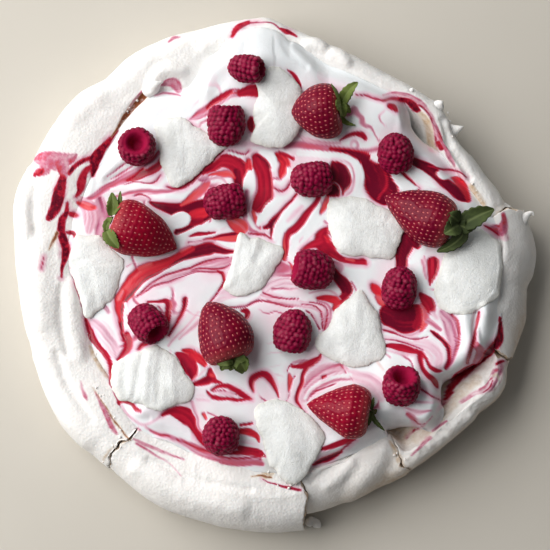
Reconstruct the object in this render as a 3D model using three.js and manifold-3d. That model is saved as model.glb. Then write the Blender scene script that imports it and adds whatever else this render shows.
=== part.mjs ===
// Pavlova: a cracked meringue shell filled with whipped cream, with raspberries,
// strawberries and sugared petals on top. Millimetres, +Z up, standing on z = 0.
// Angles are in degrees, counter-clockwise from +X.

import * as THREE from "three";
import { mergeVertices } from "three/addons/utils/BufferGeometryUtils.js";
import Module from "manifold-3d";

const wasm = await Module();
wasm.setup();

// ---------------------------------------------------------------- driving dimensions

const gap = 0.3; // clearance between pieces that touch
const columns = 64; // facets round the cake
const petalFacets = 12; // facets round a petal
const petalClearance = 0.9; // least height of a petal over the cream between its facets
const floorHeight = 18; // top of the meringue floor under the cream
const bellyHeight = 10; // height of the widest part of the rim
const lipDrop = 2.5; // fall of the rim's top from its crest to its inner lip
const creamLevel = 44.5; // cream in the middle of the cake
const creamRound = 0.08; // share of the cream's radius over which its edge rounds down
const creamEdgeLift = 1; // thickness of the cream where it ends

// Outer edge of each meringue piece, as [angle, radius].
const shellEdge = [
  [13, 145], [19, 140], [26, 134.5], [35, 132.5], [42, 134], [47, 136], [53, 135], [62, 133], [73, 135],
  [80, 138], [87, 144], [93, 150], [107, 150], [115, 152], [124, 153], [131, 151], [138, 156],
  [157, 155], [164, 156], [175, 152], [184, 149], [202, 148], [218, 151], [229, 148],
];
const frontEdge = [[0, 150], [229, 147], [244, 150], [258, 149], [276, 149]];
const slabEdge = [[0, 140], [270, 141], [281, 139], [292, 137], [303, 139]];
const wallEdge = [[0, 146], [303, 138], [315, 139], [324, 142], [333, 148], [338, 145]];
const bulgeEdge = [[0, 150], [5, 152], [15, 150], [180, 146], [338, 146], [344, 147], [349, 148], [356, 146]];

// Rim section, as [angle, value].
const crestInset = [
  [10, 20], [25, 15], [50, 11], [70, 10], [88, 13], [100, 14], [115, 20], [140, 22], [165, 20],
  [270, 20], [278, 22], [300, 20], [307, 9], [335, 8], [339, 10], [347, 24],
];
// How far the rim's outer side falls, in mm for each mm out from the crest, before it turns down.
const outerTilt = [
  [10, 0.55], [20, 0.45], [40, 0.35], [60, 0.2], [80, 0.05], [200, 0.05], [225, 0.2], [245, 0.3], [275, 0.3],
  [290, 0.25], [300, 0.4], [320, 0.65], [335, 0.65], [342, 0.65], [355, 0.65],
];
const crestHeight = [
  [10, 43], [24, 40], [38, 43], [55, 40], [70, 42], [84, 39], [100, 40], [118, 44], [135, 42],
  [152, 46], [168, 42], [186, 44], [204, 40], [222, 42], [240, 39], [258, 41], [274, 39],
  [290, 36], [305, 34], [318, 36], [328, 38], [336, 35], [345, 42], [356, 44],
];
const lipRadius = [
  [2, 131], [9, 129], [17, 123], [31, 119], [47, 122], [64, 119], [74, 120], [86, 130], [96, 134],
  [107, 126], [116, 114], [125, 121], [149, 117], [179, 117], [190, 112], [215, 114], [230, 118],
  [240, 113], [277, 114], [290, 112], [303, 114], [307, 127], [318, 128], [326, 131], [337, 134], [342, 129],
];
const wallRun = [[0, 8], [280, 8], [304, 10], [315, 17], [330, 17], [338, 12]];

// Edge of the cream, as [angle, radius].
const creamEdge = [
  [9, 127], [17, 119], [31, 113], [47, 114], [55, 116], [64, 111], [74, 117], [85, 129], [90, 138],
  [94, 140], [98, 139], [102, 134], [107, 126], [116, 112], [125, 117], [149, 113], [161, 115], [179, 115], [190, 110],
  [203, 109], [212, 108], [222, 113], [232, 114], [250, 110], [266, 112], [291, 110], [300, 109],
  [308, 114], [315, 123], [320, 122], [326, 116], [331, 122], [336, 127], [347, 128],
];

// Mounds of the cream: centre, spread along X and Y, and height.
const mounds = [
  { x: -12, y: 114, spreadX: 31, spreadY: 26, height: 8 },
  { x: 64, y: 86, spreadX: 30, spreadY: 17, height: 7 },
  { x: 78, y: -64, spreadX: 34, spreadY: 26, height: 4 },
  { x: 108, y: -12, spreadX: 20, spreadY: 40, height: 3 },
  { x: -98, y: -20, spreadX: 22, spreadY: 60, height: -4 },
  { x: -40, y: -95, spreadX: 60, spreadY: 18, height: -3 },
];

// Cracks through the rim: angle, width in degrees, and the zigzag of both faces in degrees.
const cracks = [
  { at: 229, width: 1.5, zigzag: [0, 0.9, -0.5, 0.8, -0.4, 0.3] },
  { at: 277, width: 1.2, zigzag: [0, -0.9, 1, -0.8, 0.7, -0.5] },
  { at: 304, width: 0.8, zigzag: [0, 0.6, -0.7, 0.5, 0.4, -0.3] },
  { at: 339.5, width: 3, zigzag: [0, 0.6, -0.4, 0.7, -0.5, 0.2] },
  { at: 374, width: 1.2, zigzag: [0, -0.6, 0.8, -0.5, 0.5, 0] },
];
const crackStart = 10; // how far inside the cream's edge a broken-off piece begins
const rimClearance = 0.8; // gap between the shell's floor and the broken-off pieces
const beyond = 175; // radius that clears the whole cake

// Broken-off rim pieces, in order between the cracks.
const brokenPieces = [
  { name: "meringue_front", edge: frontEdge },
  { name: "meringue_front_right", edge: slabEdge },
  { name: "meringue_lower_right", edge: wallEdge },
  { name: "meringue_right", edge: bulgeEdge },
];

// Raspberries: place, diameter and length, and the way the tip points.
// sink is how deep the berry sits in the cream.
const raspberries = [
  { x: -17, y: 112, diameter: 16, length: 20, azimuth: 172, elevation: -20, sink: 4 },
  { x: -28, y: 80, diameter: 21, length: 23, azimuth: 270, elevation: -8, sink: 6 },
  { x: -78, y: 68, diameter: 21, length: 20, azimuth: 270, elevation: -82, sink: 5 },
  { x: -29, y: 37, diameter: 20, length: 23, azimuth: 190, elevation: 8, sink: 8 },
  { x: 20, y: 50, diameter: 19.5, length: 23, azimuth: 185, elevation: 10, sink: 6 },
  { x: 68, y: 65, diameter: 20, length: 22, azimuth: 100, elevation: 40, sink: 6 },
  { x: 22, y: -2, diameter: 22, length: 23, azimuth: 350, elevation: -14, sink: 6 },
  { x: 70, y: -11, diameter: 20.5, length: 22, azimuth: 80, elevation: 35, sink: 7 },
  { x: 10, y: -36, diameter: 21, length: 23, azimuth: 78, elevation: 12, sink: 6 },
  { x: -72, y: -31, diameter: 20, length: 22, azimuth: 130, elevation: -28, sink: 6 },
  { x: 70, y: -68, diameter: 21, length: 22, azimuth: 265, elevation: -52, sink: 6 },
  { x: -30, y: -94, diameter: 20.5, length: 22, azimuth: 80, elevation: 62, sink: 5 },
];

// Strawberries: as the raspberries, with the two powers of the cone's taper, the sideways bend of
// its tip, and the calyx leaves as [turn from the top, reach, lean back].
const strawberries = [
  {
    x: 23.5, y: 88, width: 31, length: 28, azimuth: 182, elevation: -8, sink: 9, taper: [2.2, 0.75], bend: 0,
    leaves: [[83, 17, 22], [55, 13, -25], [150, 9, 10], [235, 11, 20], [300, 9, 0], [10, 9, -20]],
  },
  {
    x: -73, y: 19, width: 31, length: 41, azimuth: 340, elevation: -8, sink: 9, taper: [1.7, 0.8], bend: -2,
    leaves: [[277, 16, 12], [94, 10, 0], [70, 15, -33], [180, 8, 0], [320, 8, -20], [20, 8, -20]],
  },
  {
    x: 80, y: 30, width: 31, length: 43, azimuth: 157, elevation: -6, sink: 9, taper: [1.5, 0.8], bend: -2,
    leaves: [[84, 25, 45], [347, 12, -11], [271, 16, -11], [30, 9, -10], [140, 9, 10], [200, 9, 10]],
  },
  {
    x: -28, y: -37, width: 30, length: 38, azimuth: 112, elevation: -4, sink: 8, taper: [1.9, 0.75], bend: 3.5,
    leaves: [[275, 9, 5], [65, 9, 40], [30, 8, 4], [320, 7, 4], [120, 8, 10], [180, 8, 0], [230, 8, 10]],
  },
  {
    x: 35, y: -80, width: 29.5, length: 35.5, azimuth: 171, elevation: -5, sink: 8, taper: [1.25, 0.9], bend: 0,
    leaves: [[247, 12, 43], [72, 9, -10], [300, 8, 0], [20, 8, 0], [120, 8, 10], [180, 8, 5]],
  },
];
const leafThickness = 1;
const berryLumps = 0.04; // swell of a raspberry's lumps, as a share of its radius

// Sugared petals: outline, crown of the middle, and the fall along X and Y across the petal.
const petals = [
  {
    outline: [[0, 113], [8, 109], [14, 102], [16, 87], [13, 76], [7, 68], [0, 66], [-9, 70], [-12, 84], [-8, 106]],
    crown: 4, tiltX: 0.05, tiltY: -0.05,
  },
  {
    outline: [[-56, 84], [-40, 80], [-34, 76], [-27, 66], [-37, 60], [-49, 47], [-57, 44], [-63, 54], [-68, 74]],
    crown: 4, tiltX: 0, tiltY: 0.04,
  },
  {
    outline: [[-112, 17], [-102, 19], [-95, 16], [-83, 2], [-84, -7], [-91, -21], [-105, -29], [-113, -5]],
    crown: 4, tiltX: -0.05, tiltY: 0,
  },
  {
    outline: [[-20, 18], [-7, 16], [4, 11], [2, 1], [-7, -11], [-17, -16], [-29, -15], [-26, 1]],
    crown: 5, tiltX: 0.05, tiltY: 0,
  },
  {
    outline: [[31, 37], [46, 39], [56, 35], [73, 25], [67, 5], [46, 5], [34, 11], [30, 24]],
    crown: 5, tiltX: 0, tiltY: 0,
  },
  {
    outline: [[114, 22], [123, 15], [126, 0], [123, -19], [106, -28], [95, -22], [89, -14], [94, 2], [104, 15]],
    crown: 5, tiltX: 0, tiltY: 0,
  },
  {
    outline: [[48, -14], [56, -24], [62, -41], [58, -53], [43, -58], [33, -52], [23, -42], [30, -32], [38, -19]],
    crown: 5, tiltX: 0, tiltY: 0.05,
  },
  {
    outline: [[-67, -45], [-58, -48], [-51, -59], [-46, -69], [-49, -76], [-64, -81], [-80, -75], [-89, -68],
      [-90, -54], [-79, -47]],
    crown: 4, tiltX: 0.04, tiltY: 0,
  },
  {
    outline: [[-7, -75], [9, -76], [18, -89], [28, -97], [22, -110], [14, -119], [2, -118], [-6, -105], [-12, -85]],
    crown: 4, tiltX: 0, tiltY: 0.03,
  },
];
const petalThickness = 1.6;

// ---------------------------------------------------------------- materials

const finishes = {
  meringue: { color: 0xf0ebe3, roughness: 0.9 },
  cream: { color: 0xf8f8f5, roughness: 0.35 },
  raspberry: { color: 0x7a0a22, roughness: 0.45 },
  strawberry: { color: 0x8f0d1c, roughness: 0.3 },
  leaf: { color: 0x3c5a24, roughness: 0.6 },
  petal: { color: 0xece9df, roughness: 0.95 },
};

function finish(name) {
  return new THREE.MeshStandardMaterial({ ...finishes[name], metalness: 0 });
}

// ---------------------------------------------------------------- curves and heights

const sine = (degrees) => Math.sin(THREE.MathUtils.degToRad(degrees));
const cosine = (degrees) => Math.cos(THREE.MathUtils.degToRad(degrees));

// A closed curve of value against angle: cubic pieces through the knots that never overshoot them.
function ringCurve(knots) {
  const count = knots.length;
  const wrap = (i) => THREE.MathUtils.euclideanModulo(i, count);
  const angleAt = (i) => knots[wrap(i)][0] + 360 * Math.floor(i / count);
  const valueAt = (i) => knots[wrap(i)][1];
  const rise = (i) => (valueAt(i + 1) - valueAt(i)) / (angleAt(i + 1) - angleAt(i));
  const slope = (i) => {
    const before = rise(i - 1);
    const after = rise(i);
    return before * after > 0 ? (2 * before * after) / (before + after) : 0;
  };
  return (angle) => {
    const turned = THREE.MathUtils.euclideanModulo(angle - angleAt(0), 360) + angleAt(0);
    let i = 0;
    while (angleAt(i + 1) <= turned) i += 1;
    const span = angleAt(i + 1) - angleAt(i);
    const t = (turned - angleAt(i)) / span;
    const start = valueAt(i) * (1 + 2 * t) + slope(i) * span * t;
    const end = valueAt(i + 1) * (3 - 2 * t) - slope(i + 1) * span * (1 - t);
    return start * (1 - t) ** 2 + end * t ** 2;
  };
}

const insetAt = ringCurve(crestInset);
const tiltAt = ringCurve(outerTilt);
const crestAt = ringCurve(crestHeight);
const lipAt = ringCurve(lipRadius);
const runAt = ringCurve(wallRun);
const creamEdgeAt = ringCurve(creamEdge);
const shellEdgeAt = ringCurve(shellEdge);

// Height of the meringue's top: rounding up from the belly into an even slope up to the crest,
// a gentle fall to the lip, then an S-shaped wall down to the floor.
function meringueHeight(angle, radius, edge) {
  const inset = insetAt(angle);
  const crest = edge - inset;
  const height = crestAt(angle);
  if (radius > crest) {
    const out = Math.min((radius - crest) / inset, 1);
    const tilt = tiltAt(angle) * inset;
    return bellyHeight + tilt * (1 - out) + (height - bellyHeight - tilt) * Math.sqrt(1 - out ** 4);
  }
  const lip = Math.min(lipAt(angle), crest - 1);
  if (radius > lip) {
    return height - lipDrop * ((crest - radius) / (crest - lip)) ** 2;
  }
  const down = THREE.MathUtils.smoothstep(lip - radius, 0, runAt(angle));
  return THREE.MathUtils.lerp(height - lipDrop, floorHeight, down);
}

// Height of the cream: a level with mounds, rounding down to the meringue at its edge.
function creamHeight(x, y) {
  const angle = THREE.MathUtils.radToDeg(Math.atan2(y, x));
  const edge = creamEdgeAt(angle);
  let height = creamLevel;
  for (const mound of mounds) {
    const across = ((x - mound.x) / mound.spreadX) ** 2 + ((y - mound.y) / mound.spreadY) ** 2;
    height += mound.height * Math.exp(-across);
  }
  const foot = meringueHeight(angle, edge, shellEdgeAt(angle)) + gap + creamEdgeLift;
  const out = THREE.MathUtils.clamp((Math.hypot(x, y) / edge - 1 + creamRound) / creamRound, 0, 1);
  return foot + (height - foot) * Math.sqrt(1 - out * out);
}

// The highest surface under a topping: the cream, or the rim outside it.
function restHeight(x, y) {
  const angle = THREE.MathUtils.radToDeg(Math.atan2(y, x));
  const radius = Math.hypot(x, y);
  if (radius < creamEdgeAt(angle)) return creamHeight(x, y);
  return meringueHeight(angle, radius, shellEdgeAt(angle));
}

// ---------------------------------------------------------------- solids

function meshGeometry(positions, indices) {
  const geometry = new THREE.BufferGeometry();
  geometry.setAttribute("position", new THREE.Float32BufferAttribute(positions, 3));
  geometry.setIndex(indices);
  return geometry;
}

function toSolid(geometry) {
  const plain = geometry.clone();
  plain.deleteAttribute("normal");
  plain.deleteAttribute("uv");
  const merged = mergeVertices(plain, 1e-4);
  const vertProperties = new Float32Array(merged.attributes.position.array);
  const triVerts = new Uint32Array(merged.index.array);
  return new wasm.Manifold(new wasm.Mesh({ numProp: 3, vertProperties, triVerts }));
}

// The largest body of a solid, as a geometry. Slivers that a cut leaves loose are dropped.
function toGeometry(solid) {
  const bodies = solid.decompose();
  const largest = bodies.reduce((best, body) => (body.volume() > best.volume() ? body : best));
  const mesh = largest.getMesh();
  const geometry = new THREE.BufferGeometry();
  geometry.setAttribute("position", new THREE.BufferAttribute(mesh.vertProperties, 3));
  geometry.setIndex(new THREE.BufferAttribute(mesh.triVerts, 1));
  geometry.computeVertexNormals();
  return geometry;
}

// A closed skin over rings of points: rings[k][i] is point i of ring k, from the first pole to the last.
function ringSkin(firstPole, rings, lastPole) {
  const points = [firstPole, ...rings.flat(), lastPole];
  const around = rings[0].length;
  const indices = [];
  for (let i = 0; i < around; i += 1) {
    const next = (i + 1) % around;
    indices.push(0, 1 + next, 1 + i);
    for (let k = 0; k + 1 < rings.length; k += 1) {
      const low = 1 + k * around;
      const high = low + around;
      indices.push(low + i, low + next, high + next);
      indices.push(low + i, high + next, high + i);
    }
    const top = 1 + (rings.length - 1) * around;
    indices.push(points.length - 1, top + i, top + next);
  }
  return meshGeometry(points.flat(), indices);
}

// A body round the Z axis whose section(angle) lists [radius, height] from below, out and back on top.
function polarBody(section, bottom, top) {
  const angles = Array.from({ length: columns }, (_, i) => (360 * i) / columns);
  const sections = angles.map(section);
  const rings = sections[0].map((_, k) =>
    sections.map((points, i) => {
      const [radius, height] = points[k];
      return [radius * cosine(angles[i]), radius * sine(angles[i]), height];
    }),
  );
  return ringSkin([0, 0, bottom], rings, [0, 0, top]);
}

// Meringue with the given outer edge, from its flat underside over the rim to the floor.
function meringueBody(edgeAt, lift = 0) {
  const section = (angle) => {
    const edge = edgeAt(angle);
    const inset = insetAt(angle);
    const crest = edge - inset;
    const lip = Math.min(lipAt(angle), crest - 1);
    const run = runAt(angle);
    const radii = [
      edge - inset * 0.12, edge - inset * 0.42, crest, lip, lip - run * 0.35, lip - run * 0.65, lip - run,
    ];
    const top = radii.map((radius) => [radius, meringueHeight(angle, radius, edge) + lift]);
    return [[edge - 7, lift], [edge - 1.8, 3.5 + lift], [edge, bellyHeight + lift], ...top];
  };
  return polarBody(section, lift, floorHeight + lift);
}

// A prism over a closed outline of [x, y] points, taller than the cake.
function tallPrism(outline) {
  const shape = new THREE.Shape(outline.map(([x, y]) => new THREE.Vector2(x, y)));
  const geometry = new THREE.ExtrudeGeometry(shape, { depth: 120, bevelEnabled: false });
  geometry.translate(0, 0, -20);
  return toSolid(geometry);
}

// The plan of the rim between two cracks. grow widens it all round, in millimetres.
function rimPlan(first, last, grow) {
  const innerAt = (angle) => creamEdgeAt(angle) - crackStart - grow;
  const crackLine = (crack, side) =>
    crack.zigzag.map((jag, i) => {
      const radius = THREE.MathUtils.lerp(innerAt(crack.at), beyond, i / (crack.zigzag.length - 1));
      const grown = THREE.MathUtils.radToDeg(grow / radius);
      const angle = crack.at + jag + side * (crack.width / 2 - grown);
      return [radius * cosine(angle), radius * sine(angle)];
    });
  const step = 360 / columns;
  const between = [];
  for (let angle = Math.ceil((first.at + 3) / step) * step; angle < last.at - 3; angle += step) {
    between.push(angle);
  }
  const outer = between.map((angle) => [beyond * cosine(angle), beyond * sine(angle)]);
  const inner = between.map((angle) => [innerAt(angle) * cosine(angle), innerAt(angle) * sine(angle)]);
  return [...crackLine(first, 1), ...outer, ...crackLine(last, -1).reverse(), ...inner.reverse()];
}

// ---------------------------------------------------------------- toppings

// Axes of a topping whose tip points by azimuth and elevation: side, up and tip.
function pointing({ azimuth, elevation }) {
  const tip = new THREE.Vector3(
    cosine(elevation) * cosine(azimuth),
    cosine(elevation) * sine(azimuth),
    sine(elevation),
  );
  const side = new THREE.Vector3(-sine(azimuth), cosine(azimuth), 0);
  const up = new THREE.Vector3().crossVectors(tip, side);
  return new THREE.Matrix4().makeBasis(side, up, tip);
}

// A berry's place: its underside sinks into the cream.
function berryPlace(berry, width) {
  const upright = (berry.length / 2) * Math.abs(sine(berry.elevation));
  const lying = (width / 2) * cosine(berry.elevation);
  const height = restHeight(berry.x, berry.y) + Math.hypot(upright, lying) - berry.sink;
  return pointing(berry).setPosition(berry.x, berry.y, height);
}

// Rings round Z from a profile of [radius share, height share]; lumps swells every other facet.
function turned(profile, around, radius, length, lumps) {
  return profile.map(([share, height], k) =>
    Array.from({ length: around }, (_, i) => {
      const swell = 1 + lumps * ((i + k) % 2 === 0 ? 1 : -1);
      const angle = (360 * i) / around;
      return [radius * share * swell * cosine(angle), radius * share * swell * sine(angle), length * height];
    }),
  );
}

// A raspberry: lumpy, with the hollow that the core leaves at its stem end.
function raspberryGeometry({ diameter, length }) {
  const profile = [
    [0.42, -0.28], [0.56, -0.45], [0.86, -0.44], [1, -0.22], [0.98, 0.06], [0.8, 0.3], [0.45, 0.46],
  ];
  const rings = turned(profile, 10, diameter / 2, length, berryLumps);
  return ringSkin([0, 0, -0.1 * length], rings, [0, 0, 0.5 * length]);
}

// The smooth body that clears a raspberry, lumps and hollow included.
function raspberryClearance({ diameter, length }) {
  const profile = [[0.7, -0.5], [0.95, -0.44], [1, -0.22], [0.99, 0.06], [0.84, 0.3], [0.5, 0.46]];
  const rings = turned(profile, 10, (diameter / 2) * (1 + 2 * berryLumps) + gap, length + 2 * gap, 0);
  return ringSkin([0, 0, -0.52 * length], rings, [0, 0, 0.5 * length + gap]);
}

// A strawberry: broad shoulders and a cone that tapers and bends in its own way.
function strawberryGeometry({ width, length, taper, bend }, grow = 0) {
  const along = (height) => Math.max((height + 0.2) / 0.7, 0);
  const cone = [0.02, 0.24, 0.42].map((height) => [(1 - along(height) ** taper[0]) ** taper[1], height]);
  const profile = [[0.5, -0.5], [0.86, -0.42], [1, -0.2], ...cone];
  const tall = length + 2 * grow;
  const shift = (z) => bend * along(z / tall) ** 2;
  const straight = turned(profile, 12, width / 2 + grow, tall, 0);
  const rings = straight.map((ring) => ring.map(([x, y, z]) => [x + shift(z), y, z]));
  return ringSkin([0, 0, -0.46 * tall], rings, [bend, 0, 0.5 * tall]);
}

// A calyx: pointed leaves round a thick middle, set against the shoulder of its strawberry.
function calyxGeometry(berry, grow = 0) {
  const back = -0.5 * berry.length - gap;
  const middle = 3.5;
  const leaves = [...berry.leaves].sort((a, b) => a[0] - b[0]);
  const outline = leaves.flatMap(([turn, reach, lean], i) => {
    const following = i + 1 < leaves.length ? leaves[i + 1][0] : leaves[0][0] + 360;
    const notch = (turn + following) / 2;
    const length = reach + grow;
    const drop = Math.max(length * sine(lean), -0.5 * (berry.length - berry.width));
    const out = length * cosine(lean);
    const valley = middle + grow;
    return [
      [-out * sine(turn), out * cosine(turn), back - Math.max(drop, 0)],
      [-valley * sine(notch), valley * cosine(notch), back],
    ];
  });
  const outer = outline.map(([x, y, z]) => [x, y, z - leafThickness / 2]);
  const first = [0, 0, back - 1.5 - leafThickness / 2 - grow];
  const last = [0, 0, back + grow];
  const indices = [];
  for (let i = 0; i < outer.length; i += 1) {
    const next = (i + 1) % outer.length;
    indices.push(0, 2 + next, 2 + i);
    indices.push(1, 2 + i, 2 + next);
  }
  return meshGeometry([first, last, ...outer].flat(), indices);
}

// A petal: a thin crowned leaf over a smooth outline, laid on whatever is highest under it.
function petalGeometry({ outline, crown, tiltX, tiltY }) {
  const corners = outline.map(([x, y]) => new THREE.Vector3(x, y, 0));
  const curve = new THREE.CatmullRomCurve3(corners, true, "centripetal");
  const border = curve.getSpacedPoints(petalFacets).slice(0, petalFacets).reverse();
  const centre = border.reduce((sum, point) => sum.add(point), new THREE.Vector3());
  centre.divideScalar(petalFacets);
  const ring = (share) =>
    border.map((point) => {
      const x = THREE.MathUtils.lerp(centre.x, point.x, share);
      const y = THREE.MathUtils.lerp(centre.y, point.y, share);
      const shape = crown * (1 - share * share) + tiltX * (x - centre.x) + tiltY * (y - centre.y);
      return { x, y, shape };
    });
  const edge = ring(1);
  const half = ring(0.6);
  const support = [...edge, ...half].map(({ x, y, shape }) => restHeight(x, y) - shape);
  const base = Math.max(...support) + petalClearance;
  const raised = (points, rise) => points.map(({ x, y, shape }) => [x, y, base + shape + rise]);
  const rings = [
    raised(half, 0), raised(edge, 0), raised(edge, petalThickness / 2), raised(half, petalThickness),
  ];
  return ringSkin(
    [centre.x, centre.y, base + crown], rings, [centre.x, centre.y, base + crown + petalThickness],
  );
}

// ---------------------------------------------------------------- assembly

const pavlova = new THREE.Group();

function addMesh(name, geometry, finishName, place) {
  const mesh = new THREE.Mesh(geometry, finish(finishName));
  mesh.name = name;
  if (place) mesh.applyMatrix4(place);
  pavlova.add(mesh);
}

const twoDigits = (index) => String(index + 1).padStart(2, "0");
const cutters = []; // clearance bodies of the toppings, which the pieces under them are cut by

raspberries.forEach((berry, index) => {
  const place = berryPlace(berry, berry.diameter);
  addMesh(`raspberry_${twoDigits(index)}`, raspberryGeometry(berry), "raspberry", place);
  cutters.push(toSolid(raspberryClearance(berry).applyMatrix4(place)));
});

strawberries.forEach((berry, index) => {
  const place = berryPlace(berry, berry.width);
  addMesh(`strawberry_${twoDigits(index)}`, strawberryGeometry(berry), "strawberry", place);
  cutters.push(toSolid(strawberryGeometry(berry, gap).applyMatrix4(place)));
});

strawberries.forEach((berry, index) => {
  const place = berryPlace(berry, berry.width);
  const body = toSolid(calyxGeometry(berry).applyMatrix4(place));
  const cut = cutters.slice(0, raspberries.length + strawberries.length);
  const trimmed = cut.reduce((solid, cutter) => solid.subtract(cutter), body);
  addMesh(`calyx_${twoDigits(index)}`, toGeometry(trimmed), "leaf");
  cutters.push(toSolid(calyxGeometry(berry, gap).applyMatrix4(place)));
});

const underPetals = [...cutters];
petals.forEach((petal, index) => {
  const body = toSolid(petalGeometry(petal));
  const trimmed = underPetals.reduce((solid, cutter) => solid.subtract(cutter), body);
  addMesh(`petal_${twoDigits(index)}`, toGeometry(trimmed), "petal");
});

// Shell: the floor and the unbroken rim, less the stretch that the broken pieces fill.
const firstCrack = cracks[0];
const lastCrack = cracks[cracks.length - 1];
const missingRim = tallPrism(rimPlan(firstCrack, lastCrack, rimClearance));
const shell = toSolid(meringueBody(shellEdgeAt)).subtract(missingRim);
addMesh("meringue_shell", toGeometry(shell), "meringue");

brokenPieces.forEach(({ name, edge }, index) => {
  const plan = tallPrism(rimPlan(cracks[index], cracks[index + 1], 0));
  const piece = toSolid(meringueBody(ringCurve(edge))).intersect(plan);
  addMesh(name, toGeometry(piece), "meringue");
});

// Cream: a body from the floor up to its own surface, less the meringue and the toppings.
const creamShares = [0.16, 0.34, 0.5, 0.64, 0.76, 0.86, 0.93, 0.97, 1];
const creamSection = (angle) => {
  const edge = creamEdgeAt(angle);
  const top = creamShares.map((share) => {
    const radius = edge * share;
    return [radius, creamHeight(radius * cosine(angle), radius * sine(angle))];
  });
  return [[edge, 2], ...top.reverse()];
};
const creamBody = toSolid(polarBody(creamSection, 2, creamHeight(0, 0)));
const meringueClearances = [toSolid(meringueBody(shellEdgeAt, gap))];
brokenPieces.forEach(({ edge }, index) => {
  const plan = tallPrism(rimPlan(cracks[index], cracks[index + 1], gap));
  meringueClearances.push(toSolid(meringueBody(ringCurve(edge), gap)).intersect(plan));
});
const creamCutters = [...meringueClearances, ...cutters];
const cream = creamCutters.reduce((solid, cutter) => solid.subtract(cutter), creamBody);
addMesh("cream", toGeometry(cream), "cream");

// The origin is the centre of the underside of the whole cake's box.
const extent = new THREE.Box3().setFromObject(pavlova);
const middle = extent.getCenter(new THREE.Vector3());
pavlova.position.set(-middle.x, -middle.y, -extent.min.z);

export default pavlova;
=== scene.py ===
"""Pavlova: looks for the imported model, laid out as an add-on and run as a script.

Shapes are worked out in millimetres in the cake's own plan (X right, Y away from the viewer, Z up from
the underside), as in the CAD source, and turned into metres of the shared frame when a mesh is made.
"""

import bpy
import numpy as np
from bpy.props import FloatProperty, FloatVectorProperty, IntProperty, PointerProperty
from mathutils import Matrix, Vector


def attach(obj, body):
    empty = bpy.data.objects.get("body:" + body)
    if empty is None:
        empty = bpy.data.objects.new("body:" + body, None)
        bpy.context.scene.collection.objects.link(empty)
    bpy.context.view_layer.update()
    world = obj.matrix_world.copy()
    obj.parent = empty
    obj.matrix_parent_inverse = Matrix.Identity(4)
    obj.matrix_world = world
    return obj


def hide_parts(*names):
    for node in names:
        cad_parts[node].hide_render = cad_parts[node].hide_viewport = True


bl_info = {
    "name": "Pavlova",
    "version": (1, 0, 0),
    "blender": (4, 5, 0),
    "location": "View3D > Sidebar > Pavlova",
    "description": "Meringue, sauce-swirled cream, berries and petals of a pavlova",
    "category": "Add Mesh",
}

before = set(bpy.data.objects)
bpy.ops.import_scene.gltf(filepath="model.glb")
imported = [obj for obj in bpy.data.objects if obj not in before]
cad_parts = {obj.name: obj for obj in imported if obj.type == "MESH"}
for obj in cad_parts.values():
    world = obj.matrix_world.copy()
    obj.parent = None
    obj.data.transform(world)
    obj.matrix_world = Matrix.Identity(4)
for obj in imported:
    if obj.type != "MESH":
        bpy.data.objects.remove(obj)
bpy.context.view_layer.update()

SHIFT = np.array((0.29498, -0.13885, 0.0))  # from the cake's plan to the frame, in mm

# ---------------------------------------------------------------- numbers


def cosine(degrees):
    """Cosine of an angle in degrees."""
    return np.cos(np.radians(degrees))


def sine(degrees):
    """Sine of an angle in degrees."""
    return np.sin(np.radians(degrees))


def smoothstep(value, low, high):
    """0 below low, 1 above high, 3t^2 - 2t^3 between."""
    share = np.clip((value - low) / (high - low), 0, 1)
    return share * share * (3 - 2 * share)


def blend(first, second, share):
    """first at share 0, second at share 1, even between."""
    return first + (second - first) * share


def turn_of(x, y):
    """Angle round Z of a plan place, from 0 to 360 degrees."""
    return np.degrees(np.arctan2(y, x)) % 360


def ring_curve(knots, turns):
    """Closed curve through [angle, value] knots at the given angles in degrees.

    Cubic between two knots; at a knot its slope is the harmonic mean of the rises on both sides, or
    level where they differ in sign.
    """
    angles, values = np.array(knots, float).T
    start = angles[0]
    angles = np.append(angles, start + 360)
    values = np.append(values, values[0])
    rises = np.diff(values) / np.diff(angles)
    before = np.roll(rises, 1)
    same = before * rises > 0
    total = np.where(same, before + rises, 1)
    slopes = np.where(same, 2 * before * rises / total, 0)
    slopes = np.append(slopes, slopes[0])
    turned = (np.asarray(turns, float) - start) % 360 + start
    i = np.clip(np.searchsorted(angles, turned, side="right") - 1, 0, len(rises) - 1)
    span = angles[i + 1] - angles[i]
    t = (turned - angles[i]) / span
    left = values[i] * (1 + 2 * t) + slopes[i] * span * t
    right = values[i + 1] * (3 - 2 * t) - slopes[i + 1] * span * (1 - t)
    return left * (1 - t) ** 2 + right * t**2


def noise(points, scale, seed):
    """Smooth field from -1 to 1: a hashed value at each lattice corner, blended by smoothstep."""
    places = np.asarray(points, float) / scale
    cells = np.floor(places).astype(np.int64)
    shares = places - cells
    shares = shares * shares * (3 - 2 * shares)
    total = np.zeros(len(places))
    for corner in np.ndindex(2, 2, 2):
        x, y, z = (cells + np.array(corner)).T
        mixed = (x * 73856093) ^ (y * 19349663) ^ (z * 83492791) ^ (seed * 668265263)
        mixed = ((mixed ^ (mixed >> 13)) * 1274126177) & 0xFFFFFFFF
        mixed = ((mixed ^ (mixed >> 15)) * 2246822519) & 0xFFFFFFFF
        weight = np.where(corner, shares, 1 - shares).prod(axis=1)
        total += weight * (((mixed ^ (mixed >> 16)) & 0xFFFF) / 32767.5 - 1)
    return total


def fractal(points, scale, octaves, seed):
    """Sum of noise at scale, scale/2, scale/4 ..., each half as strong."""
    total = sum(noise(points, scale / 2**k, seed + k) / 2**k for k in range(octaves))
    return total / (2 - 0.5 ** (octaves - 1))


def knots_of(text):
    """Rows of numbers from knots set apart by spaces, their numbers set apart by commas."""
    return np.array([[float(value) for value in knot.split(",")] for knot in text.split()])


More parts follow.
